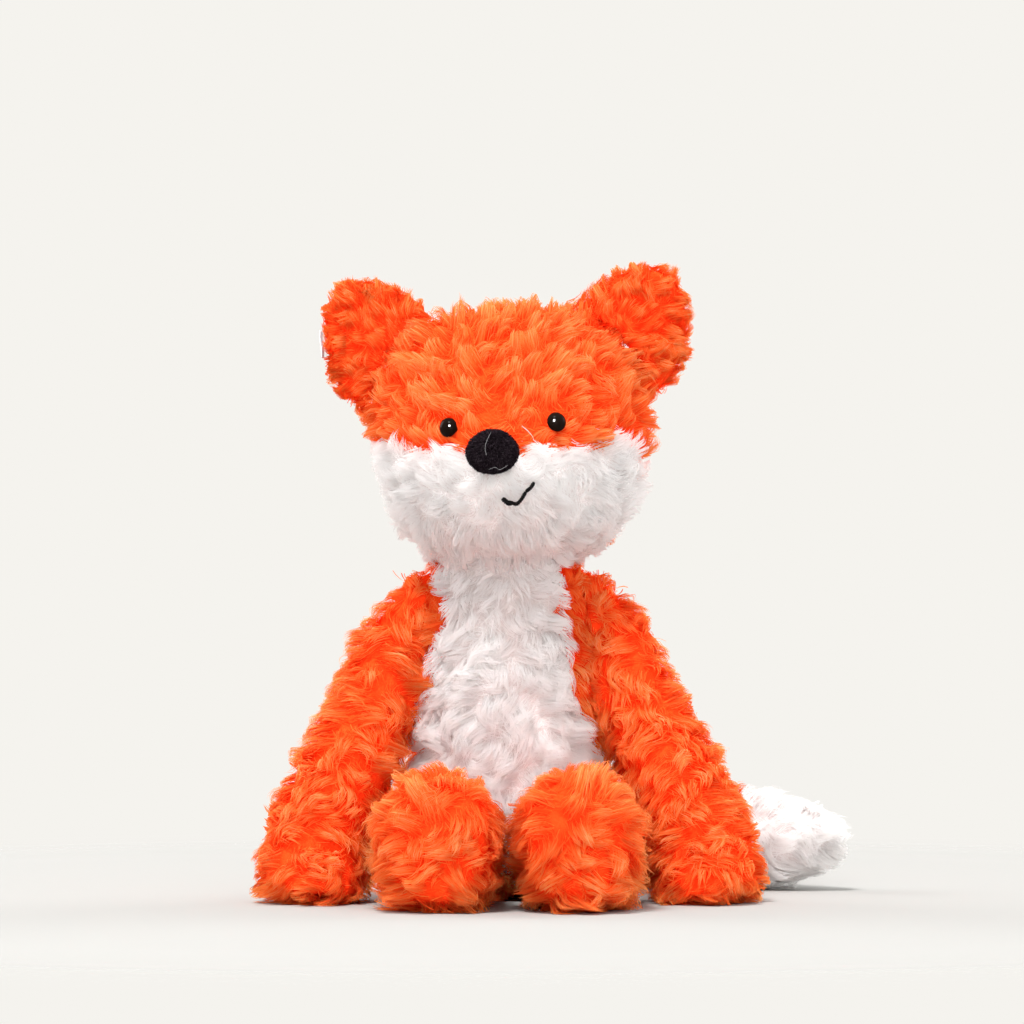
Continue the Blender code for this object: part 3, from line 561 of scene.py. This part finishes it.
def dress(form, furs, comb, trim=fullTrim, clear=allClear):
    pad, around = stuffedForm(form)
    ground = Ground(pad.data)
    rng = np.random.default_rng(form["seed"])
    centres = np.array([p.center for p in pad.data.polygons])
    facing = np.array([p.normal for p in pad.data.polygons])
    backings = [orangeBackingShaded if fur["finish"] is orangeFur else whiteBackingShaded for fur in furs]
    for backing in backings:
        pad.data.materials.append(backing)

    def owned(places, facing):
        owner = onPanels(places, facing, [fur["panel"] for fur in furs])
        if "faceLine" in form:
            owner = byFaceLine(owner, places, form["faceLine"])
        if "bellyLine" in form:
            owner = byBellyLine(owner, places, form["bellyLine"])
        return owner

    if len(furs) > 1:
        pad.data.polygons.foreach_set("material_index", owned(centres, facing).astype(np.int32))
    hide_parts(*form["stands"])
    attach(pad, form["body"])
    roots, ups = ground.scatter(form["spacing"], rng)
    owner = owned(roots, ups)
    # short pile where a neighbour presses on it
    gap = gapTo(around, roots, sewnOn["reach"])
    squeezed = 0.55 + 0.45 * np.clip((gap - sewnOn["touching"]) / 0.0026, 0, 1)
    for index, fur in enumerate(furs):
        chosen = owner == index
        mesh = growFur(fur, ground, roots[chosen], ups[chosen], comb, trim, clear, form["seed"] + index,
                       squeezed[chosen])
        piece = shown(fur["piece"], mesh, [fur["finish"]])
        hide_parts(fur["panel"])
        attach(piece, form["body"])
        print(fur["piece"], int(chosen.sum()), "locks,", len(mesh.polygons) // 3, "strands")


pile = {"length": 0.0118, "lift": 0.0064, "radius": 0.0046, "strands": 108, "wisps": 9, "width": 0.00042,
        "rise": ((0.0, -0.10), (0.34, 0.76), (0.70, 1.04), (1.0, 1.0)), "flick": 0.0050, "uneven": 0.16,
        "crevice": 0.85, "swellRadius": 0.0062, "swell": 0.3, "swellScale": 70.0,
        "swirl": math.radians(80), "swirlScale": 38.0, "stray": math.radians(36), "bend": math.radians(36),
        "fan": 0.0, "dome": 0.1, "round": 0.36, "under": 0.32,
        "roll": math.radians(30), "soft": 0.76, "lockTone": 0.05, "wispTone": 0.10, "strandTone": 0.26,
        "finish": orangeFur, "slot": "orange_fur"}
whitePile = {**pile, "finish": whiteFur, "slot": "white_fur", "wisps": 13, "fan": 0.15, "crevice": 0.42,
             "length": 0.0118, "strandTone": 0.26, "uneven": 0.10, "round": 0.22, "width": 0.00038}

# Head
head = {"body": "head", "joined": ["head_crown", "muzzle_panel", "head_filling"], "pad": "headPad",
        "stands": ["head_filling"], "fill": 0.75, "voxel": 0.003, "soften": 6, "inset": 0.0054,
        "spacing": 0.0069, "seed": 11,
        # where orange gives way to white on the front: across and up
        "faceLine": ((-0.0690, 0.2060), (-0.0640, 0.2100), (-0.0600, 0.2150), (-0.0525, 0.2185),
                     (-0.0430, 0.2150), (-0.0350, 0.2120), (-0.0280, 0.2125), (-0.0190, 0.2145),
                     (-0.0080, 0.2170), (0.0035, 0.2155), (0.0105, 0.2165), (0.0200, 0.2155),
                     (0.0320, 0.2145), (0.0440, 0.2170), (0.0540, 0.2190), (0.0575, 0.2160),
                     (0.0605, 0.2060), (0.0625, 0.1990), (0.0680, 0.1970))}
crown = {**pile, "piece": "crownFur", "panel": "head_crown", "length": 0.0112, "strands": 92, "crevice": 1.05,
         "uneven": 0.21}
muzzle = {**whitePile, "piece": "muzzleFur", "panel": "muzzle_panel", "length": 0.0108, "lift": 0.0054,
          "crevice": 0.30, "swell": 0.2, "paler": 0.22}
noseLow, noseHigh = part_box("nose")
noseMiddle = np.array((noseLow + noseHigh) / 2)
noseHalf = np.array((noseHigh - noseLow) / 2)
eyes = {}
for side in ("left", "right"):
    low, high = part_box("eye_" + side)
    eyes[side] = {"middle": np.array((low.x + high.x, low.y + 0.0040 + low.y, low.z + high.z)) / 2,
                  "radius": (high.z - low.z) / 2}


# how the face is combed: away from the nose, and from a lower place on the muzzle
face = {"noseClear": 0.014, "noseFade": 0.02, "brow": 0.223, "back": 0.012, "down": 0.018, "behind": 0.04,
        "eyeReach": 0.016, "eyePush": 2.2, "mouth": (0.0125, -0.0195), "pressed": 0.72}


def combHead(points, ups):
    gap = np.linalg.norm(points - noseMiddle, axis=1)
    lower = np.clip((gap - face["noseClear"]) / face["noseFade"], 0, 1) * (points[:, 2] < face["brow"])
    start = noseMiddle + np.array((0.0, face["back"], 0.0))
    start = start - lower[:, None] * np.array((0.0, 0.0, face["down"]))
    way = points - start
    away = np.linalg.norm(way, axis=1)[:, None]
    way = way / away
    behind = np.clip(points[:, 1] / face["behind"], 0, 1)[:, None]
    way = flat(way, ups) * (1 - behind) + np.array((0.0, 0.0, -1.0)) * behind
    for eye in eyes.values():
        aside = points - eye["middle"]
        gap = np.linalg.norm(aside, axis=1)[:, None]
        way = way + aside / gap * np.clip(1 - gap / face["eyeReach"], 0, 1) * face["eyePush"]
    return way


def trimHead(points):
    gap = np.linalg.norm(points - noseMiddle, axis=1)
    grown = np.clip((gap - 0.012) / 0.030, 0, 1)
    length, lift = 0.78 + 0.22 * grown, 0.60 + 0.40 * grown
    gap = np.linalg.norm((points - noseMiddle)[:, [0, 2]] - np.array(face["mouth"]), axis=1)
    # pressed down by the mouth's stitches
    lift = lift * (face["pressed"] + (1 - face["pressed"]) * np.clip((gap - 0.006) / 0.010, 0, 1))
    for eye in eyes.values():
        gap = np.linalg.norm(points - eye["middle"], axis=1)
        near = np.clip((gap - 0.006) / 0.016, 0, 1)
        length, lift = np.minimum(length, 0.55 + 0.45 * near), np.minimum(lift, 0.6 + 0.4 * near)
    return length, lift, np.zeros(len(points))


def clearHead(points):
    keep = np.ones(len(points), bool)
    for eye in eyes.values():
        aside = points - eye["middle"]
        gap = np.hypot(aside[:, :, 0], aside[:, :, 2])
        keep &= ~((gap < eye["radius"] * 0.84) & (aside[:, :, 1] < 0.012)).any(1)
    inside = (((points[:, 2:] - noseMiddle) / (noseHalf * np.array((0.97, 1.3, 0.97)))) ** 2).sum(2) < 1
    beneath = (((points[:, 0] - noseMiddle) / noseHalf)[:, [0, 2]] ** 2).sum(1) < 0.6
    return keep & ~inside.any(1) & ~(beneath & (points[:, 0, 1] < 0))


dress(head, [crown, muzzle], combHead, trimHead, clearHead)

# Ears
tagMiddle = np.array(sum(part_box("ear_tag"), Vector())) / 2
earLicks = {"Right": (((-0.0520, 0.0, 0.2870), (0.25, 0.0, 1.0), 0.0050, 1.0),
                      ((-0.0700, 0.0, 0.2930), (-0.2, 0.0, 1.0), 0.005, 0.35),
                      ((-0.0880, 0.0, 0.2760), (-0.9, 0.0, 0.6), 0.005, 0.45),
                      ((-0.0860, 0.0, 0.2530), (-1.0, 0.0, 0.5), 0.005, 0.4),
                      ((-0.0750, 0.0, 0.2310), (-1.0, 0.0, -0.7), 0.006, 0.6)),
            "Left": (((0.0330, 0.0, 0.2800), (-0.35, 0.0, 1.0), 0.006, 0.9),
                     ((0.0440, 0.0, 0.2890), (-0.2, 0.0, 1.0), 0.004, 0.5),
                     ((0.0800, 0.0, 0.2960), (0.6, 0.0, 1.0), 0.006, 0.5),
                     ((0.0820, 0.0, 0.2700), (1.0, 0.0, 0.2), 0.005, 0.3),
                     ((0.0700, 0.0, 0.2380), (1.0, 0.0, -0.6), 0.006, 0.5))}
for side, seed in (("Left", 21), ("Right", 23)):
    node = "ear_" + side.lower()
    joint = next(j for j in frame["joints"] if j["name"] == node + "_fold")
    base = np.array(joint["pos_m"])
    base = base + np.array((-0.012 if side == "Left" else 0.012, 0.0, -0.012))
    ear = {"body": node, "joined": [node + "_front", node + "_back"], "pad": "earPad" + side,
           "stands": [], "fill": 0.3, "voxel": 0.0018, "soften": 4, "inset": 0.0032,
           "spacing": 0.0047, "seed": seed}
    front = {**pile, "piece": "earFur" + side + "Front", "panel": node + "_front", "length": 0.0102,
             "lift": 0.0044, "radius": 0.0034, "strands": 96, "swellRadius": 0.0043, "crevice": 1.25,
             "uneven": 0.26}
    front["cowlicks"] = earLicks[side]
    back = {**front, "piece": "earFur" + side + "Back", "panel": node + "_back"}
    low, high = (np.array(corner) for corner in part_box(node + "_front"))
    hollow = low + (high - low) * np.array((0.56 if side == "Right" else 0.44, 0.0, 0.46))

    def trimEar(points, hollow=hollow):  # painted shade: redder in the hollow, where the pile is also shorter and lower; the whole ear a little darker
        gap = np.linalg.norm((points - hollow)[:, [0, 2]], axis=1)
        inner = np.clip(1 - gap / 0.017, 0, 1) * (points[:, 1] < hollow[1] + 0.012)
        # parted around the tag
        near = np.clip(1.4 - np.linalg.norm(points - tagMiddle, axis=1) / 0.008, 0, 1)
        length, lift = (1.0 - 0.1 * inner) * (1 - 0.5 * near), (1.0 - 0.25 * inner) * (1 - 0.6 * near)
        # darker all over by a little; painted shade more in the hollow
        return length, lift, -0.15 - 0.34 * inner

    dress(ear, [front, back], lambda points, ups, base=base: points - base, trimEar)

# Torso
torso = {"body": "torso", "joined": ["torso_back", "belly_panel", "torso_filling", "bean_pouch"],
         "pad": "torsoPad", "stands": ["torso_filling", "bean_pouch"], "fill": 0.7, "voxel": 0.003,
         "soften": 6, "inset": 0.0054, "spacing": 0.0063, "seed": 31,
         # how far the white reaches to either side: height, right, left
         "bellyLine": ((0.0, 0.0, 0.0), (0.014, 0.0, 0.0), (0.020, -0.040, 0.038), (0.060, -0.045, 0.040),
                       (0.077, -0.044, 0.0365), (0.100, -0.038, 0.0300), (0.125, -0.0310, 0.0265),
                       (0.145, -0.0295, 0.0240), (0.170, -0.0295, 0.0250))}
back = {**pile, "piece": "backFur", "panel": "torso_back", "strands": 80}
belly = {**whitePile, "piece": "bellyFur", "panel": "belly_panel", "strands": 120, "under": 0.38}


def combTorso(points, ups):
    way = np.zeros_like(points)
    way[:, 0] = points[:, 0] * 3
    way[:, 2] = -1.0
    return way


def trimTorso(points):  # matted a little under the chin, with painted shadow there below the head
    length, lift, shade = fullTrim(points)
    neck = np.clip((points[:, 2] - 0.118) / 0.026, 0, 1) * (points[:, 1] < 0)
    neck = neck * np.clip(1.5 - abs(points[:, 0]) / 0.03, 0, 1)
    # painted shadow: the white darkens under the chin
    return length, lift * (1 - 0.2 * neck), shade - 0.95 * neck


dress(torso, [back, belly], combTorso, trimTorso)

# Arms, legs and tail
armLine = ((0.0430, 0.0050, 0.1640), (0.0500, 0.0020, 0.1480), (0.0540, -0.0010, 0.1260),
           (0.0630, -0.0090, 0.1030), (0.0680, -0.0170, 0.0800), (0.0790, -0.0260, 0.0570),
           (0.0880, -0.0340, 0.0340), (0.0920, -0.0380, 0.0050))
for side, way, seed in (("Left", 1, 41), ("Right", -1, 43)):
    node = "arm_" + side.lower()
    arm = {"body": node, "joined": [node, "arm_filling_" + side.lower()], "pad": "armPad" + side,
           "stands": ["arm_filling_" + side.lower()], "fill": 0.65, "voxel": 0.003, "soften": 6,
           "inset": 0.0054, "spacing": 0.0070, "seed": seed, "settled": (0.002, 0.024),
           "slimmer": (((0.061 * way, 0.0, 0.1530), 0.015, 0.0050),)}
    fur = {**pile, "piece": "armFur" + side, "panel": node}
    dress(arm, [fur], alongLine([(x * way, y, z) for x, y, z in armLine]))

for side, way, seed in (("Left", 1, 51), ("Right", -1, 53)):
    node = "leg_" + side.lower()
    leg = {"body": node, "joined": [node, "leg_filling_" + side.lower()], "pad": "legPad" + side,
           "stands": ["leg_filling_" + side.lower()], "fill": 0.75, "voxel": 0.003, "soften": 6,
           "inset": 0.0054, "spacing": 0.0070, "seed": seed, "settled": (0.007, 0.014)}
    fur = {**pile, "piece": "legFur" + side, "panel": node, "swirl": math.radians(120),
           "stray": math.radians(44)}
    middle = np.array((0.0322 * way, -0.1500, 0.0340))

    def combLeg(points, ups, middle=middle, way=way):
        down = np.zeros_like(points) + np.array((0.3 * way, 0.0, -1.0))
        out = flat(points - middle, ups) * 0.7 + flat(down, ups)
        near = np.clip(1 - np.linalg.norm((points - middle)[:, [0, 2]], axis=1) / 0.034, 0, 1)
        return turned(out, ups, near * math.radians(50) * way)

    dress(leg, [fur], combLeg)

tailLine = ((-0.0120, 0.0520, 0.0290), (0.0060, 0.0680, 0.0270), (0.0220, 0.0780, 0.0250),
            (0.0440, 0.0890, 0.0250), (0.0720, 0.0900, 0.0240), (0.0950, 0.0820, 0.0240),
            (0.1190, 0.0750, 0.0240), (0.1430, 0.0630, 0.0240), (0.1680, 0.0510, 0.0250))
tail = {"body": "tail", "joined": ["tail_base", "tail_tip", "tail_filling"], "pad": "tailPad",
        "stands": ["tail_filling"], "fill": 0.5, "voxel": 0.003, "soften": 6, "inset": 0.0056,
        "spacing": 0.0070, "seed": 61, "settled": (0.005, 0.005)}
tailBase = {**pile, "piece": "tailFur", "panel": "tail_base", "length": 0.0155}
tailTip = {**whitePile, "piece": "tailTipFur", "panel": "tail_tip", "length": 0.0155, "crevice": 0.25,
           "paler": 0.2}


def trimTail(points):  # shorter towards the tip, so that no lock folds back there; painted shade darkens the top
    length, lift, shade = fullTrim(points)
    near = np.clip(1.3 - np.linalg.norm(points - np.array(tailLine[-1]), axis=1) / 0.022, 0, 1)
    high = np.clip((points[:, 2] - 0.030) / 0.012, 0, 1)
    # painted shade: locks on the tail's top are darker, where the light falls strongest
    return length * (1 - 0.55 * near), lift * (1 + 0.1 * near), shade - 0.60 * high


dress(tail, [tailBase, tailTip], alongLine(tailLine), trimTail)

# Eyes
def roundedCopy(name, node, finish):  # the node's shape, rounder
    piece = shown(name, weldedMesh(name, [node]), [finish])
    rounder = piece.modifiers.new("rounder", "SUBSURF")
    rounder.levels = rounder.render_levels = 2
    settled(piece).data.shade_smooth()
    return piece


for side in ("left", "right"):
    eye = roundedCopy("eye" + side.title(), "eye_" + side, eyeGloss)
    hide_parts("eye_" + side)
    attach(eye, "head")
    washer = frame["nodes"]["eye_washer_" + side]
    for slot in washer.material_slots:
        slot.material = washerGrey
print("eyes made")

# Nose
nose = {"length": 0.0013, "lift": 0.0007, "radius": 0.0007, "strands": 9, "wisps": 3, "width": 0.00020,
        "flick": 0.0006, "swirl": math.radians(60), "swirlScale": 200.0, "stray": math.radians(25),
        "bend": math.radians(20), "fan": 0.1, "dome": 0.2, "round": 0.45, "roll": math.radians(30),
        "soft": 0.5, "under": 0.0, "rise": pile["rise"], "uneven": 0.1, "swell": 0.0, "swellScale": 1.0,
        "crevice": 0.0, "swellRadius": 1.0, "lockTone": 0.08, "wispTone": 0.08, "strandTone": 0.16,
        "piece": "noseNap"}
nosePad = roundedCopy("nosePad", "nose", velvetCloth)
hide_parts("nose")
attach(nosePad, "head")
noseGround = Ground(nosePad.data)
roots, ups = noseGround.scatter(0.0007, np.random.default_rng(71))
front = roots[:, 1] < noseHigh.y - 0.004
mesh = growFur(nose, noseGround, roots[front], ups[front],
               lambda points, ups: points - noseMiddle + np.array((0.0, 0.0, -0.004)), fullTrim, allClear, 72)
noseNap = shown("noseNap", mesh, [velvetNap])
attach(noseNap, "head")
print("nose made:", len(mesh.polygons) // 3, "fibres")

# Mouth
lens = {"place": Vector((0.0018, -3.105, 0.184)), "scale": 6500.5}
mouth = {"stitches": (((502.6, 499.2), (507.3, 501.6), (512.0, 503.7)),
                      ((513.4, 504.0), (516.8, 502.8), (521.2, 498.0), (525.8, 492.6)),
                      ((526.4, 491.8), (530.0, 487.8), (534.0, 482.8))),
         "thickness": 0.0020, "proud": 0.0014, "sunk": 0.0022, "firstStitch": 1.3, "turns": 9, "ply": 0.68}


def behindPixel(x, y, node):  # where the line of sight through a pixel meets a node
    way = Vector(((x - 512) / lens["scale"], 1.0, (512 - y) / lens["scale"])).normalized()
    place, normal, _, _ = treeOf([node]).ray_cast(lens["place"], way)
    return place, normal


def smoothLine(points, steps):
    points = [points[0] * 2 - points[1], *points, points[-1] * 2 - points[-2]]
    out = []
    for a, b, c, d in zip(points, points[1:], points[2:], points[3:]):
        for step in range(steps):
            t = step / steps
            out.append(((b * 2) + (c - a) * t + (a * 2 - b * 5 + c * 4 - d) * t ** 2
                        + (b * 3 - a - c * 3 + d) * t ** 3) / 2)
    return out + [points[-2]]


def acrossLine(line, step):  # two ways square to the line
    ahead = (line[min(step + 1, len(line) - 1)] - line[max(step - 1, 0)]).normalized()
    side = ahead.cross(Vector((0, -1, 0))).normalized()
    return side, side.cross(ahead)


def ringAt(shape, middle, side, top, girth, share, corners):
    return [shape.verts.new(middle + (side * math.cos(a) + top * math.sin(a)) * girth * share)
            for a in (math.tau * k / corners for k in range(corners))]


def joinRings(shape, rings):
    for first, second in zip(rings, rings[1:]):
        for k in range(len(first)):
            after = (k + 1) % len(first)
            shape.faces.new((first[k], first[after], second[after], second[k]))


thread = bmesh.new()
for stitch in mouth["stitches"]:
    line = []
    for place, (x, y) in enumerate(stitch):
        spot, normal = behindPixel(x, y, "muzzle_panel")
        ended = place in (0, len(stitch) - 1)
        line.append(spot + normal * (mouth["proud"] - (mouth["sunk"] if ended else 0)))
    line = smoothLine(line, 10)
    for ply in range(2):
        rings = []
        for step, spot in enumerate(line):
            side, top = acrossLine(line, step)
            angle = step / len(line) * math.tau * mouth["turns"] * len(line) / 60 + ply * math.pi
            ending = min(step, len(line) - 1 - step)
            girth = mouth["thickness"] / 2 * (0.65 if ending == 0 else 1)
            girth *= mouth["firstStitch"] if stitch is mouth["stitches"][0] else 1
            middle = spot + (side * math.cos(angle) + top * math.sin(angle)) * girth * (1 - mouth["ply"])
            rings.append(ringAt(thread, middle, side, top, girth, mouth["ply"], 8))
        joinRings(thread, rings)
        thread.faces.new(rings[0])
        thread.faces.new(rings[-1])
bmesh.ops.recalc_face_normals(thread, faces=thread.faces)
mesh = meshFrom("mouthThread", thread)
mesh.shade_smooth()
mouthThread = shown("mouthThread", mesh, [threadBlack])
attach(mouthThread, "head")
print("mouth stitched")

# Lint: pale stray fibres that cling to the velvet, placed by the photo's pixels
lint = {"thickness": 0.00010, "proud": 0.0011,
        "onNose": (((487, 455), (485.5, 449), (487, 442), (491, 434)),
                   ((489, 468), (495, 466.5), (500, 468), (507, 464)))}
fibres = bmesh.new()
for fibre in lint["onNose"]:
    spots = [behindPixel(x, y, "nose") for x, y in fibre]
    line = smoothLine([spot + normal * lint["proud"] for spot, normal in spots], 6)
    joinRings(fibres, [ringAt(fibres, spot, *acrossLine(line, step), lint["thickness"], 0.5, 4)
                       for step, spot in enumerate(line)])
bmesh.ops.recalc_face_normals(fibres, faces=fibres.faces)
noseLint = shown("noseLint", meshFrom("noseLint", fibres), [lintGrey])
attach(noseLint, "head")
print("lint placed")

# Tag: a ribbon folded once, its fold outward and its ends in the ear's seam
tag = {"ribbon": 0.00026, "fold": 12, "rows": 16, "wave": 0.0003}
data = frame["nodes"]["ear_tag"].data
places = np.array([v.co for v in data.vertices])
middle = places.mean(0)
axes = np.linalg.svd(places - middle, full_matrices=False)[2]
spans = [np.ptp(places @ axis) for axis in axes]
long, wide, thin = (axes[k] for k in np.argsort(spans)[::-1])
length, width, thick = sorted(spans, reverse=True)
earMiddle = np.mean([v.co for v in frame["nodes"]["ear_right_front"].data.vertices], axis=0)
wide = wide * np.sign(np.dot(middle - earMiddle, wide))
bow = thick / 2 - tag["ribbon"]
folded = bmesh.new()
rows = []
for row in range(tag["rows"] + 1):
    along = row / tag["rows"] - 0.5
    sway = math.sin(along * 9) * tag["wave"] * 0.5
    line = [(-width / 2, bow * 0.4), (0.0, bow * 0.8)]
    line += [(width / 2 - bow - tag["ribbon"] + math.sin(a) * bow, math.cos(a) * bow)
             for a in (math.pi * k / tag["fold"] for k in range(tag["fold"] + 1))]
    line += [(0.0, -bow * 0.8), (-width / 2, -bow * 0.4)]
    rows.append([folded.verts.new(middle + long * along * length + wide * u + thin * (v + sway))
                 for u, v in line])
for first, second in zip(rows, rows[1:]):
    for k in range(len(first) - 1):
        folded.faces.new((first[k], first[k + 1], second[k + 1], second[k]))
bmesh.ops.recalc_face_normals(folded, faces=folded.faces)
earTag = shown("earTag", meshFrom("earTag", folded), [tagCloth])
thicker = earTag.modifiers.new("ribbon", "SOLIDIFY")
thicker.thickness, thicker.offset = tag["ribbon"], 0.0
settled(earTag).data.shade_smooth()
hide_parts("ear_tag")
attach(earTag, "ear_right")
print("tag made")

# Floor, light and camera
studio = {"background": (0.913, 0.896, 0.855), "floor": (0.385, 0.380, 0.365), "world": 0.85, "key": 285.0,
          "fill": 28.0, "rim": 80.0, "glint": 1500.0, "fadeFrom": 0.40, "fadeTo": 0.62, "radius": 0.75}
disc = bmesh.new()
bmesh.ops.create_circle(disc, cap_ends=True, segments=96, radius=studio["radius"])
finish = Finish("studioPaper")
place = finish.add("ShaderNodeTexCoord", None, None, 3)
far = finish.add("ShaderNodeVectorMath", {"operation": "LENGTH"}, {0: place}, 1)
fade = finish.add("ShaderNodeMapRange", {"interpolation_type": "SMOOTHSTEP"},
                  {0: far, 1: studio["fadeFrom"], 2: studio["fadeTo"], 3: 0.0, 4: 1.0})
paper = finish.add("ShaderNodeBsdfDiffuse", None, {"Color": (*studio["floor"], 1)})
gone = finish.add("ShaderNodeBsdfTransparent")
both = finish.add("ShaderNodeMixShader", None, {0: fade, 1: paper, 2: gone})
finish.add("ShaderNodeOutputMaterial", None, {"Surface": both})
floor = shown("studioFloor", meshFrom("studioFloor", disc), [finish.owner])

world = bpy.data.worlds.new("studioWorld")
scene.world = world
sky = Finish("", world)
path = {name: sky.add("ShaderNodeLightPath", None, None, name) for name in
        ("Is Camera Ray", "Is Glossy Ray", "Is Transmission Ray")}
seen = path["Is Camera Ray"] + path["Is Glossy Ray"] + path["Is Transmission Ray"]
light = sky.add("ShaderNodeBackground", None, {"Color": (1, 1, 1, 1), "Strength": studio["world"]})
backdrop = sky.add("ShaderNodeBackground", None, {"Color": (*studio["background"], 1), "Strength": 1.0})
mixed = sky.add("ShaderNodeMixShader", None, {0: seen, 1: light, 2: backdrop})
sky.add("ShaderNodeOutputWorld", None, {"Surface": mixed})


def softLamp(name, place, target, size, power):
    lamp = bpy.data.lights.new(name, "AREA")
    lamp.shape, lamp.size, lamp.energy = "DISK", size, power
    holder = bpy.data.objects.new(name, lamp)
    scene.collection.objects.link(holder)
    holder.location = place
    holder.rotation_euler = (Vector(target) - Vector(place)).to_track_quat("-Z", "Y").to_euler()
    return holder


softLamp("keyLamp", (-0.7, -2.1, 4.5), (0.0, 0.0, 0.12), 1.4, studio["key"])
softLamp("fillLamp", (0.2, -2.7, 0.35), (0.0, 0.0, 0.12), 1.3, studio["fill"])
softLamp("rimLampLeft", (-2.8, 1.7, 1.5), (0.0, 0.0, 0.12), 2.4, studio["rim"])
softLamp("rimLampRight", (2.8, 1.7, 1.5), (0.0, 0.0, 0.12), 2.4, studio["rim"])
glint = softLamp("glintLamp", (-0.30, -1.6, 0.92), (0.0, 0.0, 0.22), 0.62, studio["glint"])
glint.visible_diffuse = glint.visible_transmission = False

camera = bpy.data.cameras.new("photoCamera")
camera.lens, camera.sensor_width = 228.5, 36.0
holder = bpy.data.objects.new("photoCamera", camera)
scene.collection.objects.link(holder)
holder.location = lens["place"]
holder.rotation_euler = (math.radians(90), 0, 0)
scene.camera = holder
scene.view_settings.view_transform = "Standard"

print("scene ready")
